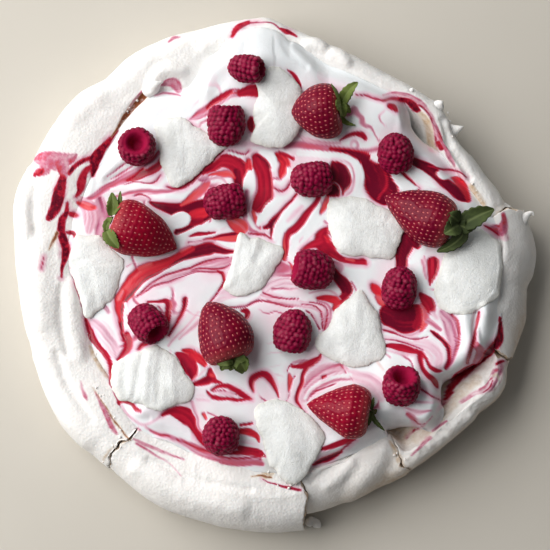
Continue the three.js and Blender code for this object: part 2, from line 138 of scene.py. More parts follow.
def arc(a, b, c, d, count):
    """count points from b on towards c, on the cubic whose ends slope as c - a and d - b, halved."""
    t = (np.arange(count) / count)[:, None]
    square = (2 * a - 5 * b + 4 * c - d) * t**2
    return 0.5 * (2 * b + (c - a) * t + square + (3 * b - a - 3 * c + d) * t**3)


def travelled_along(path):
    """The way travelled at each point of a path."""
    return np.concatenate(([0], np.cumsum(np.linalg.norm(np.diff(path, axis=0), axis=1))))


def smooth_path(knots, spacing):
    """Points along a Catmull-Rom curve through the knots, spacing apart on average."""
    knots = np.array(knots, float)
    if len(knots) == 2:
        knots = np.array((knots[0], knots.mean(axis=0), knots[1]))
    ends = np.vstack((2 * knots[0] - knots[1], knots, 2 * knots[-1] - knots[-2]))
    parts = []
    for a, b, c, d in zip(ends, ends[1:], ends[2:], ends[3:]):
        count = max(2, int(np.ceil(np.hypot(*(c - b)[:2]) / spacing)))
        parts.append(arc(a, b, c, d, count))
    return np.vstack((*parts, knots[-1:]))


# ---------------------------------------------------------------- the plan seen by the viewer

VIEW_SIDE = 550  # the view's columns and rows; every stroke below is placed by column and row
VIEW_TARGET = np.array((-0.1, -1.4, 18.0))
VIEW_ELEVATION = 84.0
VIEW_DISTANCE = 1000.0
VIEW_FOCAL = 1724.14  # focal length in columns
VIEW_AHEAD = np.array((0.0, cosine(VIEW_ELEVATION), -sine(VIEW_ELEVATION)))
VIEW_UP = np.array((0.0, sine(VIEW_ELEVATION), cosine(VIEW_ELEVATION)))
VIEW_POINT = VIEW_TARGET - VIEW_DISTANCE * VIEW_AHEAD


def to_view(points):
    """Column and row of each point: its offsets over its depth, times the focal length."""
    offsets = points - VIEW_POINT
    depth = offsets @ VIEW_AHEAD
    middle = VIEW_SIDE / 2
    columns = middle + VIEW_FOCAL * offsets[..., 0] / depth
    rows = middle - VIEW_FOCAL * (offsets @ VIEW_UP) / depth
    return columns, rows


def from_view(columns, rows, height_at, passes=4):
    """Where the sight lines through columns and rows meet height_at(x, y), found by repetition."""
    middle = VIEW_SIDE / 2
    across = (np.asarray(columns, float) - middle) / VIEW_FOCAL
    up = (middle - np.asarray(rows, float)) / VIEW_FOCAL
    sight = VIEW_AHEAD + across[..., None] * np.array((1.0, 0, 0)) + up[..., None] * VIEW_UP
    height = np.full(across.shape, 45.0)
    for _ in range(passes):
        points = VIEW_POINT + sight * ((height - VIEW_POINT[2]) / sight[..., 2])[..., None]
        height = height_at(points[..., 0], points[..., 1])
    return VIEW_POINT + sight * ((height - VIEW_POINT[2]) / sight[..., 2])[..., None]


# ---------------------------------------------------------------- meshes


def grid_faces(rows, columns, closed=True):
    """Quads of a grid of points stored row by row; closed joins its last column to its first."""
    i, j = np.meshgrid(np.arange(rows - 1), np.arange(columns if closed else columns - 1), indexing="ij")
    k = (j + 1) % columns
    here, there = i * columns, (i + 1) * columns
    return np.stack((here + j, here + k, there + k, there + j), -1).reshape(-1, 4)


def skin(rings, first, last):
    """Closed surface over rings (count, around, 3), with a pole point at each end.

    Returns its points and its faces: quads between rings and fans round both poles.
    """
    count, around = rings.shape[:2]
    points = np.vstack((rings.reshape(-1, 3), first, last))
    j = np.arange(around)
    k = (j + 1) % around
    base = (count - 1) * around
    poles = count * around
    start = np.stack((np.full(around, poles), k, j), -1)
    end = np.stack((np.full(around, poles + 1), base + j, base + k), -1)
    return points, [grid_faces(count, around), start, end]


def enclosed(points, faces):
    """Signed volume: sum over triangles of a . (b x c) / 6."""
    total = 0.0
    for group in faces:
        corners = points[group]
        for k in range(1, group.shape[1] - 1):
            total += np.einsum("ij,ij->", corners[:, 0], np.cross(corners[:, k], corners[:, k + 1])) / 6
    return total


def join(parts):
    """One set of points and faces from several closed parts, each turned the right way out."""
    points, faces, base = [], [], 0
    for part_points, part_faces in parts:
        if enclosed(part_points - part_points.mean(axis=0), part_faces) < 0:
            part_faces = [group[:, ::-1] for group in part_faces]
        points.append(part_points)
        faces += [group + base for group in part_faces]
        base += len(part_points)
    return np.vstack(points), faces


def add_piece(name, points, faces, material, slot_name="", nodes=(), fields=None, smooth=True):
    """Makes a mesh object from points in plan millimetres, turned the right way out.

    fields holds one value per point for each named attribute. The piece rides on the only body.
    """
    points = np.asarray(points, float)
    if enclosed(points - points.mean(axis=0), faces) < 0:
        faces = [group[:, ::-1] for group in faces]
    mesh = bpy.data.meshes.new(name)
    corners = np.concatenate([group.ravel() for group in faces]).astype(np.int32)
    sizes = np.concatenate([np.full(len(group), group.shape[1]) for group in faces])
    mesh.vertices.add(len(points))
    mesh.loops.add(len(corners))
    mesh.polygons.add(len(sizes))
    mesh.vertices.foreach_set("co", ((points + SHIFT) / 1000).astype(np.float32).ravel())
    mesh.loops.foreach_set("vertex_index", corners)
    mesh.polygons.foreach_set("loop_start", np.concatenate(([0], np.cumsum(sizes)[:-1])).astype(np.int32))
    mesh.update(calc_edges=True)
    if smooth:
        mesh.polygons.foreach_set("use_smooth", np.ones(len(sizes), bool))
    for field, values in (fields or {}).items():
        attribute = mesh.attributes.new(field, "FLOAT", "POINT")
        attribute.data.foreach_set("value", np.asarray(values, np.float32))
    mesh.materials.append(material)
    piece = bpy.data.objects.new(name, mesh)
    bpy.context.scene.collection.objects.link(piece)
    if slot_name:
        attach(piece, "root")
    if nodes:
        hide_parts(*nodes)
    return piece


def normals_of(grid, closed=True):
    """Unit normals of a grid of points: cross product of its differences along rows and columns."""
    down = np.gradient(grid, axis=0)
    if closed:
        along = (np.roll(grid, -1, axis=1) - np.roll(grid, 1, axis=1)) / 2
    else:
        along = np.gradient(grid, axis=1)
    cross = np.cross(down, along)
    return cross / np.maximum(np.linalg.norm(cross, axis=-1, keepdims=True), 1e-9)


# ---------------------------------------------------------------- the cake's plan, as in the CAD source

GAP = 0.3
FLOOR = 18.0
BELLY = 10.0
LIP_DROP = 2.5
CREAM_LEVEL = 44.5
CREAM_ROUND = 0.11
CREAM_EDGE_LIFT = 1.0
CRACK_START = 10.0
RIM_CLEARANCE = 0.8
BEYOND = 175.0

SHELL_EDGE = (
    (13, 145), (19, 140), (26, 134.5), (35, 132.5), (42, 134), (47, 136), (53, 135), (62, 133), (73, 135),
    (80, 138), (87, 144), (93, 150), (107, 150), (115, 152), (124, 153), (131, 151), (138, 156), (157, 155),
    (164, 156), (175, 152), (184, 149), (202, 148), (218, 151), (229, 148),
)
FRONT_EDGE = ((0, 150), (229, 147), (244, 150), (258, 149), (276, 149))
SLAB_EDGE = ((0, 140), (270, 141), (281, 139), (292, 137), (303, 139))
WALL_EDGE = ((0, 146), (303, 138), (315, 139), (324, 142), (333, 148), (338, 145))
BULGE_EDGE = ((0, 150), (5, 152), (15, 150), (180, 146), (338, 146), (344, 147), (349, 148), (356, 146))
CREST_INSET = (
    (10, 20), (25, 15), (50, 11), (70, 10), (88, 13), (100, 14), (115, 20), (140, 22), (165, 20), (270, 20),
    (278, 22), (300, 20), (307, 9), (335, 8), (339, 10), (347, 24),
)
# How far the rim's outer side falls, in mm for each mm out from the crest, before it turns down.
TILT = (
    (10, 0.55), (20, 0.45), (40, 0.35), (60, 0.2), (80, 0.05), (200, 0.05), (225, 0.2), (245, 0.3),
    (275, 0.3), (290, 0.25), (300, 0.4), (320, 0.65), (335, 0.65), (342, 0.65), (355, 0.65),
)
CREST_HEIGHT = (
    (10, 43), (24, 40), (38, 43), (55, 40), (70, 42), (84, 39), (100, 40), (118, 44), (135, 42), (152, 46),
    (168, 42), (186, 44), (204, 40), (222, 42), (240, 39), (258, 41), (274, 39), (290, 36), (305, 34),
    (318, 36), (328, 38), (336, 35), (345, 42), (356, 44),
)
LIP_RADIUS = (
    (2, 131), (9, 129), (17, 123), (31, 119), (47, 122), (64, 119), (74, 120), (86, 130), (96, 134),
    (107, 126), (116, 114), (125, 121), (149, 117), (179, 117), (190, 112), (215, 114), (230, 118),
    (240, 113), (277, 114), (290, 112), (303, 114), (307, 127), (318, 128), (326, 131), (337, 134),
    (342, 129),
)
WALL_RUN = ((0, 8), (280, 8), (304, 10), (315, 17), (330, 17), (338, 12))
CREAM_EDGE = (
    (9, 127), (17, 119), (31, 113), (43, 114), (55, 116.5), (64, 115.5), (74, 117), (85, 129), (90, 138),
    (94, 140), (98, 139), (102, 134), (107, 126), (116, 112), (125, 117), (149, 113), (161, 115),
    (179, 115), (190, 110), (203, 109), (212, 108), (222, 113), (232, 114), (250, 110), (266, 112),
    (291, 110), (300, 109), (308, 114), (315, 123), (320, 122), (326, 116), (331, 122), (336, 127),
    (347, 128),
)
# x, y, spread along x, spread along y, height
MOUNDS = (
    (-12, 114, 31, 26, 8), (64, 86, 30, 17, 7), (78, -64, 34, 26, 4), (108, -12, 20, 40, 3),
    (-98, -20, 22, 60, -4), (-40, -95, 60, 18, -3),
)
# angle, width and the zigzag of both faces, all in degrees
CRACKS = (
    (229, 1.5, (0, 0.9, -0.5, 0.8, -0.4, 0.3)),
    (277, 1.2, (0, -0.9, 1, -0.8, 0.7, -0.5)),
    (304, 0.8, (0, 0.6, -0.7, 0.5, 0.4, -0.3)),
    (339.5, 3, (0, 0.6, -0.4, 0.7, -0.5, 0.2)),
    (374, 1.2, (0, -0.6, 0.8, -0.5, 0.5, 0)),
)
BROKEN = (
    ("meringue_front", FRONT_EDGE),
    ("meringue_front_right", SLAB_EDGE),
    ("meringue_lower_right", WALL_EDGE),
    ("meringue_right", BULGE_EDGE),
)


def rim_measures(turns, edge):
    """At each turn the crest's inset, radius and height, the lip's radius, the wall's run and the fall."""
    inset = ring_curve(CREST_INSET, turns)
    crest = edge - inset
    lip = np.minimum(ring_curve(LIP_RADIUS, turns), crest - 1)
    high = ring_curve(CREST_HEIGHT, turns)
    return inset, crest, high, lip, ring_curve(WALL_RUN, turns), ring_curve(TILT, turns) * inset


def outer_side(out, high, fall):
    """Height of the outer side: the fall times what is left of the way out, plus a rounded shoulder.

    The shoulder is the rest of the height times the square root of one less the fourth power of out.
    """
    return BELLY + fall * (1 - out) + (high - BELLY - fall) * np.sqrt(1 - out**4)


def rim_height(turns, radii, edge):
    """Height of the meringue's top.

    Outside the crest the outer side; from the crest in to the lip it falls by the lip drop times the
    square of the share; inside the lip a smoothstep down to the floor.
    """
    inset, crest, high, lip, run, fall = rim_measures(turns, edge)
    outer = np.clip((radii - crest) / inset, 0, 1)
    inner = np.clip((crest - radii) / (crest - lip), 0, 1)
    top = high - LIP_DROP * inner**2
    inside = blend(high - LIP_DROP, FLOOR, smoothstep(lip - radii, 0, run))
    return np.where(radii > crest, outer_side(outer, high, fall), np.where(radii > lip, top, inside))


def cream_height(x, y):
    """Level plus a bell for each mound, rounded down to the rim over the outer share of its radius."""
    turns = turn_of(x, y)
    edge = ring_curve(CREAM_EDGE, turns)
    height = np.full(np.shape(x), CREAM_LEVEL)
    for middle_x, middle_y, spread_x, spread_y, rise in MOUNDS:
        height = height + rise * np.exp(-((x - middle_x) / spread_x) ** 2 - ((y - middle_y) / spread_y) ** 2)
    foot = rim_height(turns, edge, ring_curve(SHELL_EDGE, turns)) + GAP + CREAM_EDGE_LIFT
    out = np.clip((np.hypot(x, y) / edge - 1 + CREAM_ROUND) / CREAM_ROUND, 0, 1)
    return foot + (height - foot) * np.sqrt(1 - out**2)


def rest_height(x, y):
    """The cream inside its edge, the meringue outside it."""
    turns = turn_of(x, y)
    radii = np.hypot(x, y)
    rim = rim_height(turns, radii, ring_curve(SHELL_EDGE, turns))
    return np.where(radii < ring_curve(CREAM_EDGE, turns), cream_height(x, y), rim)


# ---------------------------------------------------------------- sauce

# Each kind of stroke: how much sauce (0 none, 1 deepest), how warm its red is, how far it is baked,
# the softness of its edge in columns and the strength of the streaks along it.
KINDS = {
    "white": (0.0, 0.5, 0.0, 1.5, 0.05),
    "lavender": (0.19, 0.0, 0.0, 3.5, 0.16),
    "pink": (0.28, 0.6, 0.0, 1.8, 0.18),
    "mauve": (0.45, 0.0, 0.0, 3.0, 0.18),
    "rose": (0.46, 0.6, 0.0, 1.8, 0.18),
    "coral": (0.60, 1.0, 0.0, 1.8, 0.14),
    "scarlet": (0.78, 1.0, 0.0, 1.8, 0.12),
    "red": (0.86, 0.5, 0.0, 1.6, 0.12),
    "deep": (1.0, 0.5, 0.0, 1.8, 0.08),
    "line": (0.74, 0.25, 0.0, 1.2, 0.0),
    "tan": (0.0, 0.5, 0.6, 3.0, 0.0),
    "brown": (0.1, 0.5, 1.0, 1.6, 0.0),
    "beige": (0.0, 0.5, 0.4, 4.0, 0.0),
}

# Strokes in the order they lie on each other: kind, then column,row,width at each knot along it.
STROKES = """
lavender 88,320,4 98,328,16 106,338,18 113,348,14 116,358,6
mauve 100,200,10 103,212,14 103,225,14 100,234,8
pink 75,198,6 88,206,16 92,218,16 90,230,8
coral 80,203,6 88,206,9 94,207,6
red 70,214,3 74,215,6 78,216,3
rose 88,197,3 95,195,7 105,189,8 115,184,8 125,178,9 135,172,8 145,166,7 155,158,7 158,152,4
rose 107,176,1 118,169,2 126,163,1.5 131,158,1
rose 111,179,1 122,173,2 132,166,1.5 137,160,1
rose 285,146,5 300,144,8 320,147,8 340,149,6 360,150,5 380,149,5
pink 298,135,3 310,140,5 325,142,4 340,143,3
lavender 226,148,4 235,147,9 245,146,11 256,145,8
line 229,152,1.5 240,154,2 247,154,1.5 250,150,1
lavender 215,300,10 225,296,14 240,300,14 255,296,12 270,284,14 285,280,14 297,282,8
pink 262,294,5 275,299,7 290,303,8 303,305,7 315,306,8 323,311,9 325,320,9 323,329,6
pink 232,258,5 222,261,8 210,265,8 198,268,7 185,272,6 170,276,5 158,281,5 148,288,4 138,297,3
lavender 345,372,8 358,378,14 372,384,18 382,394,14
lavender 386,336,5 400,339,9 415,342,10 430,347,16 438,356,20 436,366,14
mauve 442,312,8 449,320,13 452,332,13 454,345,10 452,357,9 447,367,6
pink 304,398,10 308,388,14 318,378,18 330,373,20 342,372,16
pink 424,258,6 427,268,8 428,278,5
rose 36,160,6 45,160,16 58,161,18 70,158,10 75,155,4
rose 38,172,8 46,170,8
rose 62,165,14 65,174,10
red 34,175,4 39,172,6 42,170,3
deep 63,179,9 60,190,13 57,202,14 53,213,11 50,218,6
deep 118,131,2 112,138,4 104,147,8 97,156,12 95,165,9 93,174,4
deep 98,154,5 88,158,4 80,162,5 74,167,5 70,173,4
red 91,165,5 85,173,6 82,183,9 80,191,6 77,196,3
white 90,163,2 81,167,5 75,177,6 72,190,6 69,203,5 64,213,3
white 88,178,2 88,186,3 87,192,1
deep 68,204,3 67,212,5 64,220,8 62,230,9 63,240,9 65,250,8 64,258,6 62,268,3 61,277,1.5
brown 58,233,4 53,241,3 49,250,1.5
line 44,257,1 42,268,.8
deep 68,232,3 74,233,4 74,238,1
line 69,261,1.2 72,272,1.5 75,282,1.8 78,291,1.8 80,301,1 85,316,1
brown 151,87,3 145,94,8 138,101,8 130,111,6 123,121,4 117,130,3 111,138,2
rose 150,86,2 142,92,2 135,100,2 129,109,1
rose 163,85,3 170,82,8 175,84,10 178,90,6
rose 156,95,1.5 166,93,2.5 175,94,2 180,96,1
rose 168,42,2 174,38,4 180,38,2
red 232,36,3 236,29,5 242,25,6 250,22,3
line 240,27,2 250,23,1.5 262,22,1.2 272,23,1.5 281,30,2
red 281,29,3 286,32,6 290,33,4 296,37,2
rose 189,121,1 197,116,7 205,111,10 213,105,9 222,99,8 231,94,8 239,93,8
red 208,107,3 215,101,5 224,96,6 232,92,4
red 241,93,7 248,91,9 255,90,12 258,92,8
line 189,122,1 195,126,1.5 201,131,1
red 250,117,4 250,123,8 251,129,5
red 287,71,1 292,74,3 297,79,4 301,85,3 302,89,1
red 127,180,2 135,177,6 143,172,9 151,168,10 158,163,9 161,157,4
pink 146,167,3 153,162,3 159,156,3
white 134,182,2 145,180,2.5 156,176,4 163,168,5 166,160,3
line 112,190,1 122,186,1.2 131,182,1.4 138,181,1.3 148,183,1.8 155,180,1.5 160,174,1
white 112,190,3 125,187,5 140,186,5 155,187,5 170,187,4 180,184,5 190,176,6
rose 112,199,2 122,196,3 132,193,5 145,191,5 160,191,5 172,190,4 183,188,2 190,186,1
white 138,198,2 150,198,6 163,199,9 175,198,9 186,194,8 196,188,7 205,183,3
lavender 128,199,5 137,199,7 146,200,4
line 133,197,1.5 139,195,2 146,197,1.5 150,200,1.5
deep 150,203,3 160,206,8 172,209,14 184,211,20 196,211,24 206,208,22 214,204,14
deep 176,232,6 184,226,12 192,221,12 202,217,10 211,215,4
scarlet 186,219,5 192,214,10 201,212,12 210,210,6
red 190,222,8 200,220,8
coral 181,204,3 188,199,7 196,193,9 204,187,8 209,182,4
white 172,223,11 177,221,16 182,219,16 185,218,10
white 178,240,2 184,236,5 192,231,5 202,228,6 213,225,9 223,221,10 229,219,8
red 190,237,2 198,234,5 206,233.5,4 214,232,2
white 190,240,2 200,238,3 211,235,3 222,231,3
line 189,243,1 196,243,1.5 205,241,1.5 213,238,2.5
deep 213,238,2 221,235,4 230,234,5 237,233,4
coral 206,241,2 216,239,3 226,238,6 236,238,7
pink 182,250,3 190,245,3 200,243,2 211,241.5,2 219,245,3 228,248,3 234,249,2
deep 233,251,3 222,250,6 213,249,9 207,250,13 196,252,12 186,255,11 176,260,9 166,263,11 155,268,14
145,274,16 136,283,17 128,291,16 122,300,13 119,312,8 120,322,6 122,331,4 124,340,3
scarlet 192,249,6 184,253,7 175,258,7 166,262,8 155,266,11 144,272,13 134,281,14 126,290,13 120,300,10
118,311,6 119,321,4
coral 190,247,3 182,251,4
coral 150,264,5 141,269,5
coral 123,291,6 120,298,5
red 128,335,7 129,343,9 127,350,7 122,355,5 118,360,3
white 126,303,3 125,315,4 126,328,3
pink 113,300,2 114,312,2.5 118,326,2.5 121,340,3
white 232,254,2 218,256,2.5 204,259,3 192,262,3 178,266,4 166,270,4 156,276,4 146,284,4 137,294,3
line 227,256,1 214,259,1.5 203,262,2 195,266,2.2 185,270,2 175,272,2 165,274,2.2 159,277,2 151,283,1.6
144,290,1.5 137,297,1
line 229,263,1 222,267,1.8 212,269,1.8 200,269,1.6 191,271,1.2
line 222,271,1.5 210,272,1.5 198,272,1.5 190,274,1.3 182,277,1.3 172,280,1.5 162,282,1.6 154,285,1.8
148,290,1.4 141,295,1
red 217,271,2 222,273,3 224,279,3 223,285,3.5 219,290,2 215,296,1.5 211,301,1.5
pink 127,268,1.5 135,263,1.5
red 148,302,2 157,301,3 164,300,4.5 168,303,6 168,311,6 167,319,6 164,327,6 158,335,5 150,341,4 143,344,4
139,349,2
rose 158,306,2 161,310,2
deep 185,299,5 185,305,4 183,311,3 180,317,2.5 176,324,2 172,331,1.6 169,337,1
pink 199,311,1.5 192,320,2 184,330,2.5 176,338,2.5 168,346,2
pink 200,320,4 193,327,4 186,334,3 180,340,2
red 203,174,3 213,168,8 223,162,12 234,163,16 243,170,16 245,182,8
deep 238,172,8 240,185,8 243,198,8 243,208,6
coral 209,176,2 216,174,4 224,174,7 232,174,6 236,177,3
pink 206,182,2 212,179,3 218,178,3 224,179,3 228,183,2
mauve 198,179,3 203,180,5 208,178,3
line 167,186,1.5 175,188,2 184,186,3 192,181,4.5 199,176,3 207,168,3 215,160,2.5 224,152,2.5
rose 214,163,2 220,158,3
white 230,154,3 243,157,4 250,156,5 256,152,6 264,151,5
scarlet 250,160,5 250,167,8 249,172,4
red 257,156,8 260,164,13 264,174,16 265,186,17 264,196,20 261,203,18 256,208,10
deep 258,154,3 265,160,3 270,168,3
white 251,172,5 251,180,12 249,188,12 246,195,6
mauve 247,192,5 245,200,6 243,208,6 244,216,5
pink 256,170,1.5 258,180,2 257,190,2 253,198,2 249,206,2.5 249,214,2.5 252,222,2 257,229,2 265,232,2.5
271,234,2.5 272,239,2
coral 252,212,3 254,219,5 257,225,4 260,229,2
rose 243,215,3 246,224,4 251,231,4 260,234,3
line 249,234,1.5 256,235,2 264,235,2.5 269,238,2
coral 227,219,4 233,222,12 239,226,15 243,230,9
white 258,224,6 263,219,12 270,211,14 279,203,14 287,196,12 292,189,7
deep 298,194,1.5 293,200,1.8 287,206,2.5 282,213,5 275,220,7 269,226,6 264,228,3
deep 274,222,5 272,230,4 271,238,2
white 318,189,3 309,198,12 299,206,13 289,215,13 280,226,10 274,237,6
lavender 303,206,4 295,214,6 288,221,4
red 319,189,2 318,196,4 314,204,5 309,212,6.5 303,221,8 296,228,8 289,233,7 287,240,5 286,250,4.5 284,259,4
coral 285,233,2 283.5,242,3 284,252,4 283,259,3
white 330,199,8 322,212,13 314,224,13 303,235,12 296,244,9 291,256,8
pink 303,237,1.5 300,241,1.5
coral 327,194,3 325,201,6 323,208,6 321,213,4
red 326,230,4 322,237,14 323,244,18 329,249,14 334,254,8
red 318,243,10 309,246,5 302,250,3
scarlet 326,237,4 328,241,5
pink 327,226,2 320,230,2 312,237,2 302,247,2
red 334,254,8 341,258,6 349,260,5 357,261,5 363,261,6 366,263,3
coral 345,258,2 353,260,3
scarlet 275,153,3 281,158,9 285,164,12 283,171,10 281,177,5
red 278,152,3 286,155,4 294,158,4
white 262,151,5 269,155,9 273,163,7 273,171,3
white 289,169,4 290,177,8 286,184,10 279,186,8 275,182,3
line 273,187,1.5 281,191,2 287,189,2 291,184,1.5
deep 330,148,2 342,150,4 354,153,8 364,158,14 371,167,20 376,178,26 378,189,26 384,198,18
deep 388,170,10 392,182,10 395,192,8
deep 397,168,6 407,178,5 417,189,5
white 300,152,6 320,154,7 335,155,7 348,158,8 357,165,9 361,175,9 359,186,9 355,195,6
deep 333,163,5 338,170,18 341,178,24 338,185,22 330,190,12
pink 334,160,1.5 345,161,2.5 352,166,2.5 355,174,2.5 354,183,3 350,190,5 345,193,4
pink 317,191,2 322,187,2 328,183.5,2 334,182.5,2 339,186,2 340.5,190,2 340,194,2.5
rose 384,168,1 387,178,1.2 386,187,1.2 381,194,1 378,200,1
white 372,157,4 377,159,7 382,162,4
white 391,168,5 397,176,10 403,183,12 410,188,11 415,188,6
white 403,169,3 412,173,7 421,179,9 430,184,7 437,187,2
deep 409,158,6 420,164,9 432,171,11 441,180,9 450,187,10 460,195,10 467,199,6
scarlet 452,178,4 460,184,9 466,193,7 467,200,4
white 438,173,4 443,175,9 448,176,6 457,175,3
line 428,166,1.5 440,169,2 452,171.5,2 461,174,1.5 466,178,1
rose 383,95,1 392,92.5,2 402,94,3 415,99,4 425,106,4 432,115,3.5 436,126,4 440,138,5 444,148,4 450,160,5
454,167,2
line 356,95,1 366,95.5,2 373,98,2 383,100,2.5 392,98,3 401,99,4
deep 400,99,4 408,101,5 414,105,8 419,110,5
line 419,104,2 426,109,1.5 432,118,1.5 434,130,1.5 436,140,2
red 434,148,4 438,143,5 441,150,4
red 389,105,5 393,107,6 397,110.5,3
red 340,140,1 347,136,3 355,133.5,4 361,134,5 365,138,4
tan 421,113,5 427,120,8 430,130,8 431,142,8 436,152,4
tan 470,186,6 475,195,9 481,204,8
lavender 484,226,5 492,228,10 500,233,13 505,238,7
rose 489,228,3 495,228,8 501,230,12 504,222,8 503,214,4
mauve 496,231,2 501,233,4 504,226,4
line 485,226,1.5 491,229,2.5 498,235,1.5
deep 407,226,12 405,236,18 404,246,20 402,256,14 402,266,12
deep 413,240,12 418,246,8
white 424,248,6 418,257,10 412,263,6
red 434,262,12 434,270,11 432,278,7 430,285,2
scarlet 372,284,4 375,288,8 379,294,7
coral 377,297,5 381,302,8 385,307,5
white 384,290,3 387,296,4
deep 384,312,12 392,316,26 402,318,32 411,317,30 416,314,16
red 417,306,6 419,316,8 416,325,8
red 421,294,4 425,299,10 429,304,13 431,311,7
coral 420,303,2.5 424,311,5 426,319,7 424,326,6 420,333,3
lavender 432,312,5 436,317,5
rose 428,320,6 434,324,5 441,330,4
pink 385,327,2 393,330,2.5 402,334,2.5 412,335.5,3 419,332,3
line 384,330,1.5 393,332.5,2 402,336,1.6 411,338,1.5 420,338.5,1.2 430,337,1
white 386,334,3 395,336.5,4 404,338.5,3 413,340,2.5
white 421,335,4 427,332,5 432,333,3
line 386,339,1 395,340,1.2 403,342,1.6 410,344,1.4 417,347,1.2 423,350,1
red 386,346,3 393,346,6 402,348,8 411,350.5,7 417,353,3
pink 387,351,2 397,353,3 408,356,3
deep 432,331,2 437,335,4 443,340,4 448,347,4 450,355,3.5 449,363,2.5 446,369,1.5
red 417,350,2 420,355,4.5 421,362,4.5 423,369,4.5 427,375,5 432,380,5.5 435,385,5 437,389,2
red 421,352,3 425,357,3 428,363,3 431,368,4 436,371,4.5 441,371,2
rose 386,354,1 391,358,1.5
brown 377,360,3 380,365,3 383,370,1.5
line 420,389,1.5 426,393,2 433,398,1.5 439,401,1
pink 404,408,3 411,412,7 420,413,5 430,411,2
rose 408,414,5 413,418,6 416,422,2
pink 410,401,3 420,402,3 432,403,2
line 415,421,1 420,425,1.2 427,423,1 432,417,1
deep 446,392,2 446,400,3 442,408,3 437,416,3 430,423,3 421,429,3.5 413,433,5 407,438,2
deep 501,318,3 500,330,5 498,341,7 491,350,8 483,358,7 475,365,5 466,371,8 457,379,10 451,388,9 448,398,6
deep 478,311,2 476,325,2.5 474,338,3 471,350,2.5 468,363,2
rose 476,345,6 480,352,8 475,362,5
line 452,313,2 457,320,2.5 458,331,2.5 458,343,2 456,355,1.2
deep 331,267,6 336,275,9 342,283,13 346,290,13 345,297,8
red 345,297,8 340,301,8
scarlet 318,297.5,3 325,297,6 332,299,8 337,302,8 334,309,5
pink 311,293,2 321,289.5,2.5 330,290,2 336,295,2 340,300,2
line 302,305,1.2 312,305,1.5 318,308,1.5 321,316,1.5 321,327,1.5
line 310,302,1.2 321,303.5,1.5 326,309,1.5 326,318,1.5 323,328,1.5
line 306,311,1.5 311,315,2 314,321,2 318,328,2
rose 318,300,2 326,303,2.5 330,310,3 329,320,3 325,330,2
white 308,316,5 312,323,6 314,331,5 311,338,3
rose 351,282,2 354,287,2 356,292,1.2
line 262,290,1.2 268,294,1.8 277,297,1.8 286,299,1.5 300,300,1.2
rose 272,288,1.5 281,288,2 291,289,2 300,290,1
rose 272,274,2 281,275,3 291,275,3
white 226,304,6 236,302,8 246,299,7 254,294.5,6 261,290,4
line 226,308,1.5 237,308,1.8 245,306,1.8 252,302,2.2 259,300,2.2 268,301,2 277,304,2 286,307,1.6 293,308,1.4
red 241,311,2 246,311,6 246,316,4 244,320,1.5
coral 289,262,2 292,268,4 293,275,3
red 178,354,4 184,358,10 189,365,15 193,373,10 194,380,3
scarlet 184,351,3 191,353,7 198,359,9 204,366,5
red 209,370,4 211,377,9 215,381,5 222,383,2
red 208,380,9 200,382.5,6 194,384,3
coral 211,375,4 213,376,3
pink 208,365,2 202,372,2 197,377,2 192,382,2
red 211,390,1.5 218,387,3.5 226,386,4.5 234,389,5 241,393,6 247,397,5 252,399,1
red 207,391,2 212,396,4 221,398,3 230,398,2.5 238,399.5,3 247,399,2
pink 214,391,2 222,393,4 232,395,4
line 213,391,1.2 225,390.5,1.2 236,394,1.2
lavender 200,397,7 208,398,6
red 163,414,3 171,411,7 180,412,14 188,416,18 193,423,12 197,432,7 202,440,8 209,447,7 220,451,5 236,452,4
250,453,6 261,457,4
pink 193,402,4 195,410,5 198,419,4 199,428,3 204,436,2
coral 204,414,4 206,419,3
rose 208,413,2 216,416,2
red 240,425,3 251,424,3
scarlet 240,431,6 249,433,8 256,437,6 258,442,2
lavender 242,441,4 250,443,4 257,446,3
red 240,448,5 250,450,5 259,452,4 264,457,2
red 254,391,1.5 252.5,385,4 253,378.5,6 258,375,6 264,374,6.5 269,377,6 273,383,4.5 276,390,3.5 278,398,2
coral 290,374,3 291,379,5.5 290,386,4 289,392,2
pink 288,392,2 288,400,1.5
line 296,375,1.5 292,381,1.2 290,388,1
line 288,371,1 290,366,1 294,362,1
rose 294,362,2 303,361,4 310,361,2
red 293,366,3 301,366,5 309,364.5,7 315,361,6 319,358,4 321,354,1.5
red 307,368,5 304,375,4 303,382,4 300,389,3.5 298,396,3.5 298,402,3 301,407,2 305,413,1
rose 305,387,2 311,380,3 318,375,3 326,370,3 334,367,4 341,365,4 344,370,2.5 347,374,1.5
pink 307,393,4 314,384,5 323,378,5 333,373,5 343,371,5
white 306,399,3 312,390,4 322,382,4 334,378,4 350,376,5
rose 308,401,2 313,393,2.5 320,387,2.5 330,383,3 342,381,3 352,380.5,2
line 312,396,1.6 318,391,1.8 326,387,1.6 336,385,1.2
red 324,377,3 327,376,2
red 322,449,3 330,447,5 339,443.5,6 348,440.5,5 355,438,3
deep 313,465,1.5 321,460.5,5 331,457,6 341,451,3
line 341,450,1.5 349,444,1.8 354,439,1
red 86,318,2 89,326,5 94,337,7 99,346,6 105,354,6 110,363,5 111,374,5 110,385,2.5
tan 90,346,2 95,354,7 101,364,8 105,373,5 107,378,2
line 111,386,2 114,393,2 117,400,2 119,405,1
red 118,402,4 123,400,4 130,402,4 134,405,3.5 137,409,4 141,411,3
mauve 121,405,1.5 127,413,2 134,420,2 142,424,2 150,422,1.5 160,416,1.5
rose 137,429,3 140,430,2
pink 146,427,4 150,430,3
mauve 105,308,5 108,313,4
rose 81,381,1 83,388,2.5 86,396,3.5 88,401,1.2
rose 95,392,1.5 100,401,3.5 105,411,5 110,421,5 114,429,5 118,434,2
brown 93,387,1 99,398,1.4 106,407,1.6 113,418,2.2 120,427,2 126,436,2 130,440,1.5
tan 127,441,1.5 118,447,1.5 110,452,2 104,459,3
